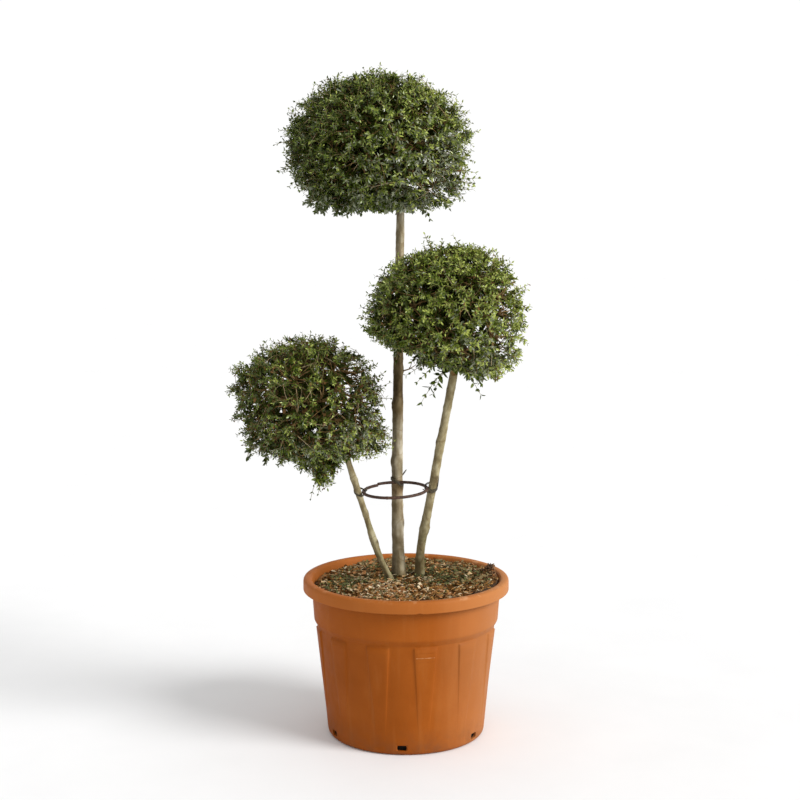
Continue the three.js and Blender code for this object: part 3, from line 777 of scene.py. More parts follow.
def knot_places(node):
    """The spot on a limb's bark of each of its knots, with the knot's size."""
    for turn, height, size, _ in LIMB_KNOTS[node]:
        (middle,), (radius,) = limb_at(limbs[node], np.array([height]))
        yield middle + polar(radius, turn, 0), size


print("knots:", {node: len(knots) for node, knots in LIMB_KNOTS.items()})

# %% Bark finishes
def bark_of(name, nodes, tone, shade_side, light_and_tone_stops):
    """Smooth bark: a tone for the whole limb, painted shade on its side away from the lamp, and stops over
    its height that lighten or darken it, partly as painted light and shadow.
    """
    finish = new_finish(name, (0.25, 0.20, 0.12), 0.8, 0.25)
    base = ramp(finish, noise_value(finish, 46.0, (1, 1, 0.5), detail=6.0), [
        (0.27, (0.150, 0.110, 0.058)), (0.44, (0.300, 0.245, 0.148)), (0.58, (0.470, 0.415, 0.295)),
        (0.76, (0.600, 0.555, 0.450))])
    moss = noise_share(finish, 0.55, 0.78, 0.45, 26.0)
    flecks = noise_share(finish, 0.64, 0.70, 0.55, 330.0, (1, 1, 2.6), detail=2.0)
    scars = ramp(finish, noise_value(finish, 17.0, (0.9, 0.9, 1.0), detail=1.0), [
        (0.455, (1.0, 1.0, 1.0)), (0.485, (0.74, 0.68, 0.60)), (0.505, (1.0, 1.0, 1.0))])
    # painted shade: bark that faces left, away from the lamp, is blended dark in patches
    full, most = shade_side
    left_painted_shade = place_share(finish, "X", 0.40, full, 0.0, most, "Normal")
    blotched = value_range(finish, noise_value(finish, 34.0), 0.30, 0.58, 0.55, 1.0)
    height_light_and_tone = ramp(finish, place_share(finish, "Z", 0.38, 1.30), light_and_tone_stops)
    layers = [
        (moss, (0.16, 0.155, 0.065)), (flecks, (0.50, 0.45, 0.34)), (1.0, scars, "MULTIPLY"),
        (1.0, tone, "MULTIPLY"), (multiply(finish, left_painted_shade, blotched), (0.105, 0.080, 0.040)),
        (1.0, height_light_and_tone, "MULTIPLY")]
    for node in nodes:
        for spot, size in knot_places(node):
            layers.append((near_spot(finish, spot, 0.9 * size, 0.65), (0.070, 0.046, 0.020)))
    drive(finish, "Base Color", layered(finish, base, layers))
    add_bump(finish, noise_value(finish, 240.0, (1, 1, 0.5), detail=6.0), 0.0016, 0.75)
    print(f"finish {name}: {len(layers)} layers")
    return finish


# Stops over the trunk's height: a darker foot, lighter stretches as painted light, a darker brown band at the
# hoop's tie, the painted shadow of the right ball from about 0.79 to 0.95 m and painted light above it; the
# left side gets painted shade.
trunk_bark = bark_of("trunk_bark", ["trunk"], (1.0, 1.0, 1.0), (-0.40, 0.92), [
    (0.00, (0.74, 0.70, 0.60)), (0.14, (1.16, 1.15, 1.16)), (0.205, (1.14, 1.12, 1.12)),
    (0.225, (0.86, 0.72, 0.56)), (0.252, (0.80, 0.66, 0.50)), (0.268, (1.10, 1.10, 1.12)),
    (0.40, (1.08, 1.08, 1.10)), (0.44, (0.54, 0.45, 0.31)), (0.62, (0.60, 0.52, 0.38)),
    (0.72, (1.36, 1.34, 1.34))])
# The stems get painted shade on their left side and a darker foot.
stem_bark = bark_of("stem_bark", ["left_stem", "right_stem"], (0.92, 0.90, 0.75), (-0.80, 0.52), [
    (0.00, (0.78, 0.80, 0.74)), (0.25, (1.0, 1.0, 1.0))])

# %% Trunk and side stems
LIMB_BARK = {"trunk": (3, 30, trunk_bark), "left_stem": (5, 24, stem_bark), "right_stem": (8, 26, stem_bark)}
for node, (seed, sides, finish) in LIMB_BARK.items():
    bark = bark_limb(limbs[node], LIMB_KNOTS[node], seed, sides)
    add_piece(f"bark_{node}", *bark, finish, "bark", [node])

# %% [markdown]
# ## Tubes
# Twigs, cane, wire and straw are all tubes along a line. A bevelled curve would do for one of them; for
# thousands it is quicker to lay the rings of all tubes at once with arrays.

# %% Tubes along lines
def tubes(paths, radii, sides):
    """Paths are (tubes, steps, 3) and radii (tubes, steps). Returns points and four-cornered faces."""
    paths = np.asarray(paths, float)
    radii = np.asarray(radii, float)
    count, steps = paths.shape[:2]
    ways = unit(np.gradient(paths, axis=1))
    helper = np.where(np.abs(ways[:, :1, 2:3]) > 0.8, [[[1.0, 0, 0]]], [[[0, 0, 1.0]]])
    first = unit(np.cross(ways, np.broadcast_to(helper, ways.shape)))
    second = np.cross(ways, first)
    turns = np.linspace(0, FULL_TURN, sides, endpoint=False)[None, None, :, None]
    outwards = first[:, :, None] * np.cos(turns) + second[:, :, None] * np.sin(turns)
    rings = paths[:, :, None] + radii[:, :, None, None] * outwards
    faces = ring_faces(steps, sides)[None] + (steps * sides) * np.arange(count)[:, None, None]
    return rings.reshape(-1, 3), faces.reshape(-1, 4)


def bent_lines(starts, leaving, ends, steps, stiffness=0.45):
    """Lines that leave a fork along its own direction and bend over to their end."""
    t = np.linspace(0, 1, steps)[None, :, None]
    reach = np.linalg.norm(ends - starts, axis=1, keepdims=True)
    knees = starts + unit(leaving) * reach * stiffness
    return (1 - t) ** 2 * starts[:, None] + 2 * t * (1 - t) * knees[:, None] + t ** 2 * ends[:, None]


def tapered(lines, radii):
    """The same radii along every line."""
    return np.broadcast_to(radii, lines.shape[:2])


def joined(parts):
    """Several (points, faces) pairs as one."""
    points = []
    faces = []
    first = 0
    for part_points, part_faces in parts:
        points.append(part_points)
        faces.append(part_faces + first)
        first += len(part_points)
    return np.concatenate(points), np.concatenate(faces)


print("tubes ready")

# %% [markdown]
# ## Hoop
# A thin dark cane is bent into a ring inside the three stems. In the solid its ends run past each other; in
# the picture the cut ends meet with a small step, so the line climbs by that step on its way round. The rod
# is laid again with thin joints and an uneven thickness.

# %% Hoop
HOOP_CENTRE = Vector((-0.026, -0.058, 0.6083))
HOOP_RADIUS = 0.076
HOOP_ROD = 0.0035
HOOP_STEP = 0.0028
HOOP_START = math.radians(214)
HOOP_TILT = Matrix.Rotation(math.radians(2.9), 3, "X") @ Matrix.Rotation(math.radians(-2.4), 3, "Y")
HOOP_JOINTS = (0.7, 2.3, 3.9, 5.6)
CUT_LENGTH = 0.004


def hoop_point(along):
    climb = HOOP_STEP * (along / FULL_TURN - 0.5)
    return np.array(HOOP_TILT @ Vector(polar(HOOP_RADIUS, HOOP_START + along, climb)) + HOOP_CENTRE)


hoop_along = np.concatenate([[0], np.linspace(CUT_LENGTH, FULL_TURN - CUT_LENGTH, 258), [FULL_TURN]])
hoop_line = np.array([hoop_point(along) for along in hoop_along])
hoop_thickness = np.array([HOOP_ROD * (1.03 + 0.07 * rough(p, 60, 1.3)) for p in hoop_line])
for joint in HOOP_JOINTS:
    hoop_thickness += 0.0005 * np.exp(-((hoop_along - joint) / 0.03) ** 2)
hoop_thickness[[0, -1]] = 0.0006
hoop_thickness[[1, -2]] *= 0.92
hoop_finish = grained("dark_cane", (0.07, 0.04, 0.025), 0.6, 0.35, [
    (0.30, (0.028, 0.014, 0.008)), (0.55, (0.076, 0.037, 0.022)), (0.75, (0.15, 0.085, 0.052))],
    dict(scale=120.0, detail=6.0), (dict(scale=500.0), 0.0006, 0.6))
add_piece("cane_hoop", *tubes([hoop_line], [hoop_thickness], 12), hoop_finish, "cane", ["hoop"])

# %% [markdown]
# ## Ties
# Each stem is lashed to the hoop with two or three turns of coated wire. The wire runs round stem and rod
# together, crosses the rod over on one side and under on the other, and ends in two short tails.

# %% Ties
TIE_WIRE = 0.0011
TIE_SLACK = 0.0008
TIES = {
    "trunk": dict(turn=177, wraps=3, pitch=0.0024, tilt=-0.0068, last=0.9 * math.pi, tail=(0.017, 0, 0.023)),
    "left_stem": dict(turn=-90, wraps=2, pitch=0.0024, tilt=0.0088, last=-0.3, tail=(0.004, 0, 0.013)),
    "right_stem": dict(turn=98, wraps=2, pitch=0.0034, tilt=-0.0092, last=math.pi, tail=(0.002, 0, 0.026))}
tie_finish = grained("coated_wire", (0.06, 0.05, 0.03), 0.5, 0.4, [
    (0.35, (0.030, 0.024, 0.015)), (0.60, (0.085, 0.070, 0.040)), (0.80, (0.16, 0.13, 0.075))],
    dict(scale=200.0), (dict(scale=900.0), 0.0003, 0.5))


def tie_line(limb, turn, wraps, pitch, tilt, last, tail):
    """The wire's path: an oval around stem and rod, with a turn in degrees that says where on the hoop."""
    turn = math.radians(turn)
    rod = hoop_point((turn - HOOP_START) % FULL_TURN)
    (stem, above), (radius, _) = limb_at(limb, np.array([rod[2], rod[2] + 0.01]))
    climb = (above - stem) / 0.01
    inwards = polar(-1, turn, 0)
    across = np.cross([0, 0, 1], inwards)
    half_width = radius + TIE_WIRE + TIE_SLACK
    before = (rod - stem) @ inwards + HOOP_ROD + TIE_WIRE + TIE_SLACK / 2
    half_length = (half_width + before) / 2
    middle = stem + inwards * (half_length - half_width)
    turns = np.linspace(0.3, FULL_TURN * wraps + last, 34 * wraps + 12)
    rise = (turns / FULL_TURN - wraps / 2) * pitch
    line = [middle + inwards * half_length * math.cos(a) + across * half_width * math.sin(a)
            + climb * (tilt * math.sin(a) + r) for a, r in zip(turns, rise)]
    tail_up = [line[-1] + np.array(tail) * s for s in (0.33, 0.66, 1.0)]
    tail_down = [line[0] + inwards * 0.006 * s + climb * 0.003 * s for s in (1.0, 0.75, 0.4)]
    return np.array(tail_down + line + tail_up)


for node, tie in TIES.items():
    line = tie_line(limbs[node], **tie)
    wire = np.full(len(line), TIE_WIRE)
    wire[[0, -4, -3, -2, -1]] = 0.0004, 0.0013, 0.0017, 0.0018, 0.0012
    tie_name = node.replace("_stem", "") + "_tie"
    add_piece(f"wire_{tie_name}", *tubes([line], [wire], 8), tie_finish, "tie", [tie_name])

# %% [markdown]
# ## Balls: the clipped outline
# Each ball is a dome over a flatter underside. The outline is one formula for the distance from the ball's
# heart to the shears in any direction. It is the same kind of formula as in the solid, with bulges and dents
# (direction, share, spread), thin places where the sky shows through, and sprigs that escaped the shears.
# Twigs, inner and heart shoots are counted for each bough, the rest for the whole ball. `gone` is the share
# of twigs without a tuft, `shares` parts the coat's leaves from pale to deep, and `grey_sheen` is the lower
# side whose larger leaves take a greyish tint that stands in for the sky's reflection: a painted reflection.

# %% The three balls
BALLS = {
    "top_ball": dict(
        centre=(-0.070, 0.032, 1.411), radius=0.224, rise=0.193, drop=0.141, limb="trunk", seed=11,
        boughs=20, twigs=29, fan=4, gone=0.03, inner=70, heart=36, hanging=130, bare=60,
        leaf=0.0104, dry=0.004, shares=(0.075, 0.265, 0.58), grey_sheen=((0.68, -0.6, -0.45), 0.75),
        bulges=[
            ((0.80, 0, -0.58), 0.11, 0.38), ((-0.88, 0, -0.46), -0.07, 0.34), ((-0.20, 0, 0.98), -0.04, 0.40),
            ((0.90, 0, 0.40), 0.05, 0.45), ((-1, 0, 0.02), 0.03, 0.45)],
        thin=[
            ((0.75, 0, -0.55), 0.80, 0.50), ((0.50, -0.70, -0.5), 0.62, 0.38),
            ((0.50, 0.70, -0.5), 0.90, 0.50)],
        drooping=[],
        sprigs=[
            ((1, -0.2, -0.28), 1.07, 0.014), ((1, -0.25, -0.36), 1.04, 0.014),
            ((-1, -0.2, -0.22), 1.06, 0.012), ((-1, -0.2, -0.42), 1.05, 0.012),
            ((0.05, -0.2, 1), 1.04, 0.011)]),
    "right_ball": dict(
        centre=(0.090, -0.166, 1.027), radius=0.188, rise=0.170, drop=0.141, limb="right_stem", seed=23,
        boughs=15, twigs=29, fan=4, gone=0.08, inner=56, heart=26, hanging=50, bare=90,
        leaf=0.0106, dry=0.024, shares=(0.175, 0.49, 0.80), grey_sheen=((0.55, -0.6, -0.55), 0.60),
        bulges=[
            ((-0.74, 0, -0.67), -0.30, 0.42), ((-0.55, -0.6, -0.58), -0.22, 0.42),
            ((-0.55, 0.6, -0.58), -0.22, 0.42), ((0.02, 0, -1), -0.36, 0.40), ((0, -0.6, -0.8), -0.12, 0.36),
            ((0, 0.6, -0.8), -0.14, 0.36), ((0.64, 0, -0.77), 0.07, 0.34), ((-1, 0, -0.05), 0.03, 0.30),
            ((0.97, 0, -0.28), -0.07, 0.30), ((0.60, 0, 0.80), 0.05, 0.45)],
        thin=[
            ((0.97, 0, -0.14), 0.75, 0.30), ((0.80, -0.58, -0.10), 0.85, 0.34),
            ((0.80, 0.58, -0.10), 0.92, 0.42), ((0.55, 0, -0.75), 0.45, 0.40),
            ((-0.45, -0.50, -0.70), 0.86, 0.42), ((-0.45, 0.50, -0.70), 0.95, 0.50),
            ((0.1, -0.85, -0.5), 0.45, 0.35), ((-0.45, 0, -0.80), 0.92, 0.38),
            ((0.70, -0.66, -0.26), 0.48, 0.36), ((0.68, 0.68, -0.26), 0.88, 0.50)],
        drooping=[
            ((0.000, -0.05, -0.110), (-0.056, -0.07, -0.184), 0.019),
            ((0.010, -0.05, -0.110), (-0.030, -0.07, -0.165), 0.018),
            ((0.045, -0.06, -0.115), (0.075, -0.09, -0.165), 0.017),
            ((-0.030, -0.05, -0.090), (-0.090, -0.05, -0.126), 0.014),
            ((-0.020, -0.07, -0.095), (-0.066, -0.08, -0.138), 0.014),
            ((-0.005, -0.06, -0.100), (-0.036, -0.07, -0.150), 0.014)],
        sprigs=[
            ((-0.26, -0.1, 1), 1.14, 0.011), ((-0.22, -0.1, 1), 1.08, 0.010), ((0.09, 0.2, 1), 1.10, 0.010),
            ((1, -0.2, 0.42), 1.08, 0.010), ((1, -0.2, 0.36), 1.05, 0.010), ((1, -0.2, -0.30), 1.05, 0.012)]),
    "left_ball": dict(
        centre=(-0.223, -0.108, 0.830), radius=0.177, rise=0.161, drop=0.131, limb="left_stem", seed=37,
        boughs=14, twigs=34, fan=3, gone=0.14, inner=40, heart=14, hanging=20, bare=170,
        leaf=0.0096, dry=0.075, shares=(0.085, 0.29, 0.66), grey_sheen=((0.75, -0.5, -0.5), 0.5),
        bulges=[
            ((-0.74, -0.1, -0.67), 0.03, 0.40), ((-0.36, 0, -1), 0.11, 0.35), ((0.16, 0, -1), 0.50, 0.25),
            ((0.80, 0, -0.55), 0.17, 0.35), ((-0.93, 0, 0.36), 0.09, 0.42), ((0.20, 0, 0.98), -0.08, 0.55)],
        thin=[
            ((0.85, 0, 0.40), 0.75, 0.55), ((0.60, -0.68, 0.40), 0.68, 0.44),
            ((0.60, 0.68, 0.40), 0.88, 0.50), ((1, 0, -0.35), 0.45, 0.45),
            ((-0.5, -0.3, -0.8), 0.40, 0.45), ((0.0, 0, -1), 0.40, 0.40),
            ((-0.70, -0.60, 0.10), 0.25, 0.50), ((-0.75, 0.60, 0.0), 0.60, 0.60)],
        drooping=[
            ((0.020, 0.0, -0.150), (0.000, -0.02, -0.228), 0.010),
            ((0.030, -0.01, -0.160), (0.018, -0.03, -0.215), 0.010)],
        sprigs=[
            ((0.14, 0, -1), 1.04, 0.009), ((0.22, -0.1, -1), 1.05, 0.010), ((1, -0.2, 0.4), 1.08, 0.010),
            ((1, -0.2, 0.05), 1.07, 0.010), ((1, 0.2, 0.2), 1.08, 0.010)]),
}
print("balls:", {name: ball["boughs"] for name, ball in BALLS.items()}, "boughs")

# %% Outline of the balls
DOME_FULLNESS = 2.0
UNDERSIDE_FULLNESS = 3.0
LONGEST_TUFT = 1.045


def nearness(ways, towards, spread):
    """1 for ways that point towards a place on the ball, softly less for those that are turned away."""
    turned_away = np.arccos(np.clip(ways @ unit(towards), -1, 1))
    return np.exp(-(turned_away / spread) ** 2)


def outline_reach(ball, ways):
    upper = ways[:, 2] > 0
    fullness = np.where(upper, DOME_FULLNESS, UNDERSIDE_FULLNESS)
    flat = np.hypot(ways[:, 0], ways[:, 1]) / ball["radius"]
    upright = np.abs(ways[:, 2]) / np.where(upper, ball["rise"], ball["drop"])
    reach = (flat ** fullness + upright ** fullness) ** (-1 / fullness)
    for towards, share, spread in ball["bulges"]:
        reach *= 1 + share * nearness(ways, towards, spread)
    return reach


def outline_tips(ball, ways, share):
    """Places that lie in some directions at a share of the way to the outline."""
    return ways * (outline_reach(ball, ways) * share)[:, None]


def tuft_share(ball, ways, chooser):
    """How far each tuft comes up to the outline: soft lumps, and tufts that differ in length."""
    place = Vector((0, ball["seed"], 0))
    broad = [noise.noise(Vector(w * 3.2) + place) for w in ways]
    small = [noise.noise(Vector(w * 8.0) - place) for w in ways]
    lumps = np.add(broad, small)
    return np.clip(0.952 + 0.045 * lumps + chooser.normal(0, 0.046, len(ways)), 0.80, 1.05)


for name, ball in BALLS.items():
    sides = outline_reach(ball, unit([(-1, 0, 0), (1, 0, 0), (0, 0, 1), (0, 0, -1)]))
    print(name, "reaches left, right, up and down:", np.round(sides, 3))

# %% [markdown]
# ## Balls: growth
# A clipped shrub forks again and again on its way out, so the twigs grow in levels: boughs, branches,
# twigs and leafy shoots. Each level spreads its tips evenly over the ball, one golden turn after another,
# and every tip starts from the nearest fork of the level before, leaving it along the fork's own
# direction. This gives a believable tree without a particle system, and the same one on every run.

# %% Grow the boughs, branches and twigs
GOLDEN_TURN = math.pi * (3 - math.sqrt(5))
STEM_STEPS = 7
STEM_END_RADIUS = 0.0062


def even_ways(count, chooser, scatter):
    index = np.arange(count)
    height = 1 - 2 * (index + 0.5) / count
    turn = index * GOLDEN_TURN
    flat = np.sqrt(1 - height ** 2)
    ways = np.stack([flat * np.cos(turn), flat * np.sin(turn), height], 1)
    return unit(ways + chooser.normal(0, scatter / math.sqrt(count), (count, 3)))


def from_forks(forks, fork_ways, tips, sought):
    """Where each tip's line starts and how it leaves: at the fork nearest to the place that is sought."""
    nearest = np.array([np.argmin(((forks - spot) ** 2).sum(1)) for spot in sought])
    starts = forks[nearest]
    return starts, unit(fork_ways[nearest] + 0.6 * unit(tips - starts)), tips


def grow_level(ball, chooser, forks, fork_ways, count, share, scatter, stray):
    ways = even_ways(count, chooser, scatter)
    tips = outline_tips(ball, ways, share(count))
    return from_forks(forks, fork_ways, tips, tips * 0.92 + chooser.normal(0, stray, tips.shape))


def grow_frame(ball, chooser):
    """The stem's head, boughs, branches and twigs, each as lines with radii, and all forks on them."""
    middles, radii = limbs[ball["limb"]]
    foot = middles[-1] - np.array(ball["centre"])
    stem = np.linspace(foot - np.array([0, 0, 0.006]), foot * 0.2, STEM_STEPS)
    levels = [(stem[None], np.linspace(radii[-1] * 0.97, STEM_END_RADIUS, STEM_STEPS)[None])]
    forks = stem[2:] * 0.9
    fork_ways = np.broadcast_to(unit(-foot), forks.shape)
    all_forks = []
    all_ways = []
    plan = [
        (1, 0.48, 0.0052, 0.0036, 6), (4, 0.66, 0.0036, 0.0022, 5), (ball["twigs"], 0.81, 0.0018, 0.0010, 4)]
    for each, share, thick, thin, steps in plan:
        grown = grow_level(ball, chooser, forks, fork_ways, each * ball["boughs"],
                           lambda count: share + chooser.normal(0, 0.045, count), 0.7, 0.012)
        lines = bent_lines(*grown, steps)
        levels.append((lines, tapered(lines, np.linspace(thick, thin, steps))))
        forks = np.concatenate([lines[:, -1], lines[:, -2]])
        fork_ways = unit(np.concatenate([lines[:, -1] - lines[:, -2]] * 2))
        all_forks.append(forks)
        all_ways.append(fork_ways)
    return levels, np.concatenate(all_forks), np.concatenate(all_ways)


print("golden turn:", round(math.degrees(GOLDEN_TURN), 1), "degrees")

# %% [markdown]
# ## Balls: tufts, inner shoots and sprigs
# After each clipping a twig answers with a fan of new shoots, so the coat is a crowd of small tufts with
# dark gaps between them. Behind it are older shoots whose leaves get dark colours as painted shade. A few
# long sprigs have escaped the shears, and at some places the outline reaches out and takes extra shoots.

# %% Grow the tufts and the inner shoots
def together(sets):
    """Several sets of the same columns, such as starts, directions and tips, as one set."""
    return [np.concatenate(column) for column in zip(*sets)]


def tufts(ball, chooser, twig_lines):
    """A few leafy shoots on the end of each twig, clipped at one length. Some twigs have lost theirs."""
    twig_lines = twig_lines[chooser.random(len(twig_lines)) >= ball["gone"]]
    ends = twig_lines[:, -1]
    before = twig_lines[:, -2]
    count = len(ends)
    heading = unit(unit(ends - before) + 0.8 * unit(ends))
    side = unit(np.cross(heading, chooser.normal(0, 1, heading.shape)))
    other = np.cross(heading, side)
    shears = tuft_share(ball, unit(ends), chooser)
    found = []
    for k in range(ball["fan"]):
        spread = chooser.uniform(0.0, 0.25, count) if k == 0 else chooser.uniform(0.30, 0.80, count)
        turn = k * FULL_TURN / (ball["fan"] - 1) + chooser.uniform(-0.6, 0.6, count)
        sideways = side * np.cos(turn)[:, None] + other * np.sin(turn)[:, None]
        ways = unit(heading + spread[:, None] * sideways)
        starts = ends - (ends - before) * chooser.uniform(0, 0.6, count)[:, None] * (k > 0)
        tips = starts + ways * chooser.uniform(0.028, 0.052, count)[:, None]
        clipped = np.minimum(shears * chooser.normal(1, 0.016, count), LONGEST_TUFT)
        limit = outline_reach(ball, unit(tips)) * clipped
        found.append((starts, heading, tips * np.minimum(limit / np.linalg.norm(tips, axis=1), 1)[:, None]))
    return together(found)


def inner_shoots(ball, chooser, forks, fork_ways, each, nearest, farthest):
    """Older shoots between two shares of the outline, so many to a bough."""
    return grow_level(ball, chooser, forks, fork_ways, each * ball["boughs"],
                      lambda count: chooser.uniform(nearest, farthest, count), 1.3, 0.020)


print("tufts and inner shoots ready")

# %% Grow the sprigs and the other shoots
MORE_SPRIGS = 56
BUNCH = 5


def long_sprigs(ball, chooser, forks, fork_ways):
    """Sprigs named for a ball, more all round, and drooping ones, with the size of their leaves."""
    named, shares, sizes = zip(*ball["sprigs"])
    ways = np.concatenate([unit(named), even_ways(MORE_SPRIGS, chooser, 2.0)])
    share = np.concatenate([shares, chooser.uniform(0.985, 1.035, MORE_SPRIGS)])
    tips = outline_tips(ball, ways, share)
    sought = tips * 0.78
    sizes = np.concatenate([sizes, np.full(MORE_SPRIGS, 1.1 * ball["leaf"])])
    for root, tip, size in ball["drooping"]:
        tips = np.vstack([tips, tip])
        sought = np.vstack([sought, root])
        sizes = np.append(sizes, size)
    return from_forks(forks, fork_ways, tips, sought), sizes


def hanging_shoots(ball, chooser, forks, fork_ways):
    """Bunches of shoots that hang from the lower rim, out of the light, with larger leaves."""
    bunches = ball["hanging"] // BUNCH
    count = BUNCH * bunches
    turn = np.repeat(chooser.uniform(0, FULL_TURN, bunches), BUNCH) + chooser.normal(0, 0.07, count)
    slope = np.repeat(chooser.uniform(0.55, 1.5, bunches), BUNCH)
    share = np.repeat(chooser.uniform(0.98, 1.13, bunches), BUNCH) + chooser.normal(0, 0.02, count)
    ways = unit(np.stack([np.cos(turn), np.sin(turn), -slope], 1))
    tips = outline_tips(ball, ways, share)
    return from_forks(forks, fork_ways, tips, tips * 0.84 + np.array([0, 0, 0.02]))


def outreach_shoots(ball, chooser, forks, fork_ways):
    """More shoots where the outline reaches out far."""
    found = []
    for towards, share, spread in (bulge for bulge in ball["bulges"] if bulge[1] > 0):
        count = int(1700 * share * spread)
        ways = unit(unit(towards) + chooser.normal(0, 0.42 * spread, (count, 3)))
        tips = outline_tips(ball, ways, chooser.uniform(0.70, 1.06, count))
        found.append(from_forks(forks, fork_ways, tips, tips * 0.86))
    return together(found)


def bare_twigs(ball, chooser, forks, fork_ways):
    """Leafless twigs that cross the coat at a slant, just under the outline."""
    ways = even_ways(ball["bare"], chooser, 2.0)
    slant = unit(ways + 0.32 * unit(np.cross(ways, chooser.normal(0, 1, ways.shape))))
    tips = outline_tips(ball, ways, chooser.uniform(0.84, 1.0, ball["bare"]))
    return from_forks(forks, fork_ways, tips, outline_tips(ball, slant, 0.82))


print("sprigs, hanging shoots and bare twigs ready")

# %% [markdown]
# ## Leaves
# A privet leaf is a small pointed oval, slightly cupped along its midrib. Seven points and six triangles
# are enough for its outline at this size. Leaves stand in opposite pairs, each pair turned a quarter
# against the one before, and the youngest at the tip are the smallest and palest.

# %% Leaf shape
LEAF_OUTLINE = np.array([
    (0, 0, 0), (0.30, 0.44, 0.13), (0.68, 0.36, 0.10), (1, 0, -0.06), (0.68, -0.36, 0.10),
    (0.30, -0.44, 0.13), (0.46, 0, -0.02)])
LEAF_FACES = np.array([(6, 1, 0), (6, 2, 1), (6, 3, 2), (6, 4, 3), (6, 5, 4), (6, 0, 5)])


def leaf_blades(roots, ways, facing, lengths, widths):
    across = unit(np.cross(facing, ways))
    upper = np.cross(ways, across)
    along, side, lift = (LEAF_OUTLINE[None, :, k:k + 1] for k in range(3))
    long = lengths[:, None, None]
    wide = widths[:, None, None]
    points = roots[:, None] + ways[:, None] * along * long + across[:, None] * side * wide
    points = points + upper[:, None] * lift * wide
    faces = LEAF_FACES[None] + len(LEAF_OUTLINE) * np.arange(len(roots))[:, None, None]
    return points.reshape(-1, 3), faces.reshape(-1, 3)


print("one leaf:", len(LEAF_OUTLINE), "points,", len(LEAF_FACES), "triangles")

# %% Leaves along shoots
LEAF_LEAN = math.radians(50)
OLD_LEAF_LEAN = math.radians(22)


def shoot_leaves(chooser, shoots, sizes, pairs, slim, droop=0.12):
    """Leaves of some shoots: root, way, facing, length, width, age from 0 at the tip, shoot number."""
    count = len(shoots[0])
    lines = bent_lines(*shoots, 2 * pairs + 1)
    spin = chooser.uniform(0, math.pi, count)
    found = []
    for pair in range(pairs):
        place = lines[:, 2 * pair + 2]
        along = unit(place - lines[:, 2 * pair + 1])
        first = unit(np.cross(along, np.array([0.31, 0.52, 0.79])))
        turn = spin + pair * math.pi / 2
        side = first * np.cos(turn)[:, None] + np.cross(along, first) * np.sin(turn)[:, None]
        age = 1 - (pair + 1) / pairs
        lean = LEAF_LEAN + OLD_LEAF_LEAN * age + chooser.normal(0, 0.16, count)
        for hand in (1, -1):
            ways = along * np.cos(lean)[:, None] + hand * side * np.sin(lean)[:, None]
            ways[:, 2] -= droop + 0.25 * age * chooser.random(count)
            ways = unit(ways + chooser.normal(0, 0.10, (count, 3)))
            upward = along - ways * (along * ways).sum(1, keepdims=True)
            facing = unit(upward + chooser.normal(0, 0.36, (count, 3)))
            lengths = sizes * (0.66 + 0.34 * min(1.0, 2.2 * age + 0.2)) * chooser.uniform(0.82, 1.18, count)
            widths = lengths * slim * chooser.uniform(0.9, 1.12, count)
            found.append((place, ways, facing, lengths, widths, np.full(count, age), np.arange(count)))
    return together(found)


# The shade tint is painted shade for the leaves inside the balls, and the pale greyish tint stands in for the
# sky's reflection on glossy leaves: a painted reflection.
LEAF_TINTS = {
    "tip": ((0.350, 0.404, 0.070), 0.32, 0.70), "fresh": ((0.180, 0.234, 0.025), 0.30, 0.65),
    "green": ((0.082, 0.123, 0.007), 0.30, 0.50), "deep": ((0.044, 0.066, 0.004), 0.32, 0.35),
    "grey_sheen": ((0.225, 0.250, 0.146), 0.25, 0.90), "shade": ((0.032, 0.042, 0.003), 0.55, 0.12),
    "dry": ((0.150, 0.076, 0.021), 0.70, 0.25)}
leaf_finishes = {tint: new_finish(f"leaf_{tint}", *look) for tint, look in LEAF_TINTS.items()}
print("leaf colours:", list(leaf_finishes))

# %% [markdown]
# ## Small things on the mulch
# Moss and small weeds have come up on both sides of the stems, some pale straws lie about, and a dry brown
# clump rests against the rim on the right, with a trail of crumbs. They are made from the same blades, chips
# and tubes as the rest.

# %% Moss
MOSS_PATCHES = [
    ((-0.145, -0.035), 0.045, 420), ((0.105, -0.005), 0.050, 520), ((0.0, -0.06), 0.12, 380),
    ((0.03, 0.10), 0.08, 360)]
MOSS_TINTS = {"light": (0.125, 0.135, 0.042), "dark": (0.050, 0.052, 0.016)}
MOSS_RADIUS = 0.210
moss_spots = np.concatenate([dice.normal(0, spread, (n, 2)) + middle for middle, spread, n in MOSS_PATCHES])
moss_spots = moss_spots[np.hypot(*moss_spots.T) < MOSS_RADIUS]


def lying_blades(spots, rise, lengths, slim, upright):
    """Blades that stand or lie about on the soil, turned any way."""
    turn = dice.uniform(0, FULL_TURN, len(spots))
    ways = unit(np.stack([np.cos(turn), np.sin(turn), dice.uniform(-0.1, upright, len(spots))], 1))
    facing = unit(np.array([0, 0, 1.0]) + dice.normal(0, 0.45, ways.shape))
    return leaf_blades(on_soil(spots, rise), ways, facing, lengths, lengths * slim)


for first, (tint, colour) in enumerate(MOSS_TINTS.items()):
    spots = moss_spots[first::2]
    rise = dice.uniform(0.003, 0.008, len(spots))
    lengths = dice.uniform(0.005, 0.011, len(spots))
    moss = lying_blades(spots, rise, lengths, 0.5, 0.9)
    add_piece(f"moss_{tint}", *moss, new_finish(f"moss_{tint}", colour, 0.7, 0.2), "foliage", smooth=False)

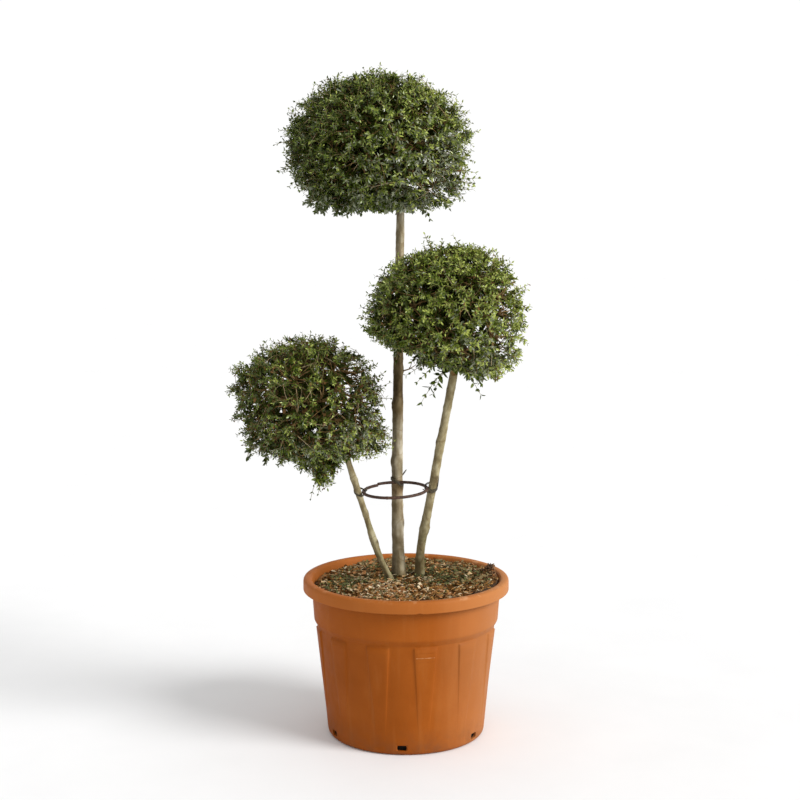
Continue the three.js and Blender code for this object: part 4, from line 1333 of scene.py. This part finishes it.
# %% Dry clump with its trail
CLUMP_PIECES = 190
TRAIL_PIECES = 150
TRAIL_WAY = (0.003, -0.075)
CLUMP_RIM = 0.2195
CLUMP_SPREAD = 0.017
CLUMP_HEIGHT = 0.018
clump_trail = dice.uniform(0, 1, (TRAIL_PIECES, 1)) ** 1.5 * TRAIL_WAY
clump_spots = dice.normal(0, 0.011, (CLUMP_PIECES + TRAIL_PIECES, 2)) + CLUMP_SPOT
clump_spots[CLUMP_PIECES:] += clump_trail
clump_spots = clump_spots[np.hypot(*clump_spots.T) < CLUMP_RIM]
clump_count = len(clump_spots)
clump_away = distances(clump_spots, CLUMP_SPOT) / CLUMP_SPREAD
clump_rise = CLUMP_HEIGHT * np.exp(-clump_away ** 2) * dice.uniform(0.0, 1.0, clump_count)
clump = scatter_chips(clump_spots, dice.uniform(0.006, 0.013, clump_count), clump_rise, 1.1)
clump_finish = grained("dry_clump", (0.10, 0.055, 0.028), 0.85, 0.2, [
    (0.35, (0.075, 0.040, 0.020)), (0.55, (0.190, 0.102, 0.050)), (0.72, (0.34, 0.20, 0.10))],
    dict(scale=70.0))
add_piece("dry_clump", *clump, clump_finish, "soil", smooth=False)

# %% Straws
STRAWS_BY_THE_STEM = [(0.049, -0.014), (0.052, -0.020)]
CHANCE_STRAWS = 12
STRAW_RISE = 0.008
straw_spots = np.concatenate([STRAWS_BY_THE_STEM, dice.uniform(-0.13, 0.13, (CHANCE_STRAWS, 2))])
straw_turn = np.concatenate([[0.15, 0.5], dice.uniform(0, math.pi, CHANCE_STRAWS)])
straw_ways = np.stack([np.cos(straw_turn), np.sin(straw_turn), np.full(len(straw_turn), 0.1)], 1)
straw_middles = on_soil(straw_spots, STRAW_RISE)
straw_half = straw_ways * dice.uniform(0.009, 0.020, (len(straw_turn), 1))
straw_lines = np.stack([straw_middles - straw_half, straw_middles, straw_middles + straw_half], 1)
straw_radii = tapered(straw_lines, [0.0005, 0.0010, 0.0004])
straw_tones = [(0.35, (0.34, 0.26, 0.14)), (0.65, (0.60, 0.50, 0.32))]
straw_finish = grained("pale_straw", (0.52, 0.42, 0.25), 0.7, 0.3, straw_tones, dict(scale=150.0))
add_piece("straws", *tubes(straw_lines, straw_radii, 5), straw_finish, "soil")

# %% [markdown]
# ## Label field
# A blank field for a label is moulded into the front rib: three thin raised lines across it, of which the
# middle one is worn pale. They are laid as thin tubes, half sunk in the rib.

# %% Label field
FIELD_HALF = math.radians(6.1)
field_turns = np.linspace(RIB_FIRST_TURN - FIELD_HALF, RIB_FIRST_TURN + FIELD_HALF, 30)
field_tones = [(0.40, (0.34, 0.095, 0.016)), (0.62, (0.56, 0.27, 0.11))]
field_finish = grained("scuffed_plastic", (0.46, 0.18, 0.06), 0.6, 0.1, field_tones, dict(scale=90.0))
FIELD_LINES = {
    "label_line": ([0.2425], 0.0009, field_finish), "label_edges": ([0.2547, 0.2330], 0.0005, tub_finish)}


def across_rib(height):
    return [polar(wall_radius(height) + rib_lift(height), turn, height) for turn in field_turns]


for name, (heights, thick, finish) in FIELD_LINES.items():
    field_lines = np.array([across_rib(height) for height in heights])
    field_radii = np.full(field_lines.shape[:2], thick)
    field_radii[:, [0, -1]] = 0.0001
    add_piece(name, *tubes(field_lines, field_radii, 6), finish, "pot")

# %% [markdown]
# ## Balls: twigs and leaves together
# The colour of a leaf goes by its age on the shoot, by how vigorous the whole shoot is and by which way it
# faces:
# pale tufts on top and paler leaves towards the lamp as painted light, larger leaves below and on the lower
# right with a greyish tint that stands in for the sky's reflection, and dark leaves inside as painted shade.
# Each colour becomes one mesh for each ball.

# %% Twig finishes
twig_finish = grained("twig_bark", (0.12, 0.07, 0.035), 0.8, 0.12, [
    (0.30, (0.105, 0.058, 0.018)), (0.55, (0.240, 0.146, 0.056)), (0.75, (0.410, 0.290, 0.150))],
    dict(scale=90.0, detail=5.0), (dict(scale=400.0), 0.0006, 0.6))
shoot_finish = new_finish("young_shoot", (0.25, 0.205, 0.080), 0.6, 0.3)
bare_tones = [(0.35, (0.25, 0.170, 0.085)), (0.65, (0.52, 0.41, 0.25))]
bare_finish = grained("bare_twig", (0.34, 0.25, 0.14), 0.75, 0.3, bare_tones, dict(scale=110.0))
print("finish:", twig_finish.name, shoot_finish.name, bare_finish.name)

# %% Twig stub on the trunk
stub_lines = [
    [(-0.008, 0.030, 0.884), (0.008, 0.026, 0.889), (0.024, 0.020, 0.900)],
    [(0.006, 0.027, 0.888), (0.011, 0.024, 0.896), (0.014, 0.022, 0.907)]]
stub_radii = [[0.0022, 0.0016, 0.0007], [0.0012, 0.0010, 0.0005]]
add_piece("trunk_stub", *tubes(stub_lines, stub_radii, 6), twig_finish, "bark")

# %% Shoots of a ball
def thinned(ball, chooser, shoots):
    """The shoots that are there: fewer where the sky shows through."""
    ways = unit(shoots[2])
    chance = np.ones(len(ways))
    for towards, share, spread in ball["thin"]:
        chance *= 1 - share * nearness(ways, towards, spread)
    kept = chooser.random(len(ways)) < chance
    return [column[kept] for column in shoots]


def grow_shoots(grown, twig_lines):
    """All leafy shoots of a ball, kind by kind, and the size of the sprigs' leaves."""
    ball, chooser = grown[:2]
    inner = thinned(ball, chooser, inner_shoots(*grown, ball["inner"], 0.56, 0.88))
    heart = thinned(ball, chooser, inner_shoots(*grown, ball["heart"], 0.12, 0.50))
    outer = [tufts(ball, chooser, twig_lines), outreach_shoots(*grown)]
    coat = thinned(ball, chooser, together(outer))
    hanging = thinned(ball, chooser, hanging_shoots(*grown))
    sprigs, sprig_sizes = long_sprigs(*grown)
    return dict(coat=coat, inner=inner, heart=heart, hanging=hanging, sprigs=sprigs), sprig_sizes


print("thin places:", {name: len(ball["thin"]) for name, ball in BALLS.items()})

# %% Colours of the leaves
# painted light: the way towards the lamp; leaves that face it rank paler
PAINTED_LIGHT_SIDE = np.array([0.36, -0.06, 0.08])
COAT_TINTS = np.array(["tip", "fresh", "green", "deep"])
# painted shade: the dark tints given to leaves inside the balls, with some real dry leaves
SHADE_AND_DRY_TINTS = ["shade", "deep", "dry"]
HANGING_TINTS = ["grey_sheen", "deep", "green"]
DROOPING_TINTS = ["deep", "green", "fresh"]


def coat_tints(ball, chooser, tips, ages, shoot):
    """Young leaves of vigorous shoots are pale, and leaves facing the lamp paler as painted light; low ones
    and those on the cool side take a greyish painted reflection.
    """
    outward = unit(tips)
    patches = np.array([noise.noise(Vector(w * 5.0) + Vector((ball["seed"], 0, 0))) for w in outward])
    # painted light: how far a shoot faces the lamp adds to its vigour score
    vigour_and_painted_light = 0.24 * patches + outward @ PAINTED_LIGHT_SIDE + chooser.normal(0, 0.16, len(tips))
    score = (1 - ages) * 1.10 + vigour_and_painted_light[shoot] + chooser.normal(0, 0.30, len(ages))
    rank = np.argsort(np.argsort(-score)) / len(score)
    tints = COAT_TINTS[np.searchsorted(ball["shares"], rank)]
    # painted reflection: low leaves and those on the lower right side take the greyish tint
    low = 0.30 * np.clip((-0.25 - outward[shoot, 2] - 0.25 * patches[shoot]) / 0.35, 0, 1)
    grey_sheen = np.maximum(low, 0.8 * nearness(outward[shoot], *ball["grey_sheen"]))
    tints[(chooser.random(len(ages)) < grey_sheen) & (tints != "tip")] = "grey_sheen"
    tints[chooser.random(len(ages)) < ball["dry"]] = "dry"
    return tints


def inner_tints(ball, chooser, tips, shoot):
    """Inner leaves get dark tints as painted shade, apart from those that the open lower side lights up,
    whose paler tints are painted light.
    """
    tints = chooser.choice(SHADE_AND_DRY_TINTS, len(shoot), p=[0.68 - ball["dry"], 0.32, ball["dry"]])
    lit = 0.55 * nearness(unit(tips)[shoot], *ball["grey_sheen"])
    tints[chooser.random(len(shoot)) < lit] = "green"
    tints[chooser.random(len(shoot)) < 0.5 * lit] = "grey_sheen"
    return tints


def leaf_tints(ball, chooser, shoots, leaves):
    """The colour of every leaf, kind after kind of shoot."""
    tips = {kind: shoots[kind][2] for kind in shoots}
    numbers = {kind: leaves[kind][6] for kind in leaves}
    heart_dry = 2.2 * ball["dry"]
    coat = coat_tints(ball, chooser, tips["coat"], leaves["coat"][5], numbers["coat"])
    inner = inner_tints(ball, chooser, tips["inner"], numbers["inner"])
    # painted shade: leaves in the heart are mostly the darkest tint
    heart = chooser.choice(SHADE_AND_DRY_TINTS, len(numbers["heart"]), p=[0.82 - heart_dry, 0.18, heart_dry])
    # painted reflection: many hanging leaves take the greyish tint
    hanging = chooser.choice(HANGING_TINTS, len(numbers["hanging"]), p=[0.45, 0.40, 0.15])
    sprigs = coat_tints(ball, chooser, tips["sprigs"], leaves["sprigs"][5], numbers["sprigs"])
    drooping = numbers["sprigs"] >= len(tips["sprigs"]) - len(ball["drooping"])
    sprigs[drooping] = chooser.choice(DROOPING_TINTS, drooping.sum(), p=[0.55, 0.35, 0.10])
    return np.concatenate([coat, inner, heart, hanging, sprigs])


print("old leaves:", SHADE_AND_DRY_TINTS, "young leaves:", list(COAT_TINTS))

# %% Dress the balls
LEAF_LOOKS = {
    "coat": dict(pairs=7, slim=0.42), "inner": dict(pairs=4, slim=0.54), "heart": dict(pairs=4, slim=0.60),
    "hanging": dict(pairs=5, slim=0.60, droop=0.45), "sprigs": dict(pairs=6, slim=0.58)}
OLD_LEAF_SIZES = {"inner": 0.0150, "heart": 0.0190, "hanging": 0.0155}
TWIG_SIDES = [7, 7, 4, 4, 4, 3]


def leaf_sizes(ball, shoots, sprig_sizes):
    """Leaves of the coat are broader low down and on the cool side."""
    ways = unit(shoots["coat"][2])
    low = np.clip(-ways[:, 2] - 0.45, 0, 0.4) / 0.4
    broad = np.maximum(low, nearness(ways, *ball["grey_sheen"]))
    sizes = {kind: np.full(len(shoots[kind][0]), size) for kind, size in OLD_LEAF_SIZES.items()}
    return dict(sizes, coat=ball["leaf"] * (1 + 0.35 * broad), sprigs=sprig_sizes)


def dress_ball(name, ball):
    chooser = np.random.default_rng(ball["seed"])
    centre = np.array(ball["centre"])
    levels, forks, fork_ways = grow_frame(ball, chooser)
    twig_lines = levels[-1][0]
    grown = (ball, chooser, forks, fork_ways)
    bare = bent_lines(*bare_twigs(*grown), 5, 0.4)
    bare_radii = tapered(bare, np.linspace(0.0010, 0.0004, 5))
    levels.append((bare[::2], bare_radii[::2]))
    add_piece(f"{name}_bare_twigs", *tubes(bare[1::2] + centre, bare_radii[1::2], 4), bare_finish, "foliage")
    shoots, sprig_sizes = grow_shoots(grown, twig_lines)
    old = bent_lines(*together([shoots["inner"], shoots["heart"]]), 3)
    levels.append((old, tapered(old, [0.0011, 0.0009, 0.0006])))
    twig_parts = [tubes(lines + centre, radii, sides) for (lines, radii), sides in zip(levels, TWIG_SIDES)]
    add_piece(f"{name}_twigs", *joined(twig_parts), twig_finish, "foliage", [name])
    young = bent_lines(*together([shoots["coat"], shoots["hanging"], shoots["sprigs"]]), 3)
    young_radii = tapered(young, [0.0009, 0.0008, 0.0005])
    add_piece(f"{name}_shoots", *tubes(young + centre, young_radii, 3), shoot_finish, "foliage")
    sizes = leaf_sizes(ball, shoots, sprig_sizes)
    leaves = {}
    for kind, look in LEAF_LOOKS.items():
        leaves[kind] = shoot_leaves(chooser, shoots[kind], sizes[kind], **look)
    tints = leaf_tints(ball, chooser, shoots, leaves)
    roots, *shapes = together(leaves.values())[:5]
    for tint, finish in leaf_finishes.items():
        chosen = tints == tint
        blades = leaf_blades(roots[chosen] + centre, *(column[chosen] for column in shapes))
        add_piece(f"{name}_leaves_{tint}", *blades, finish, "foliage", smooth=False)


for name, ball in BALLS.items():
    dress_ball(name, ball)
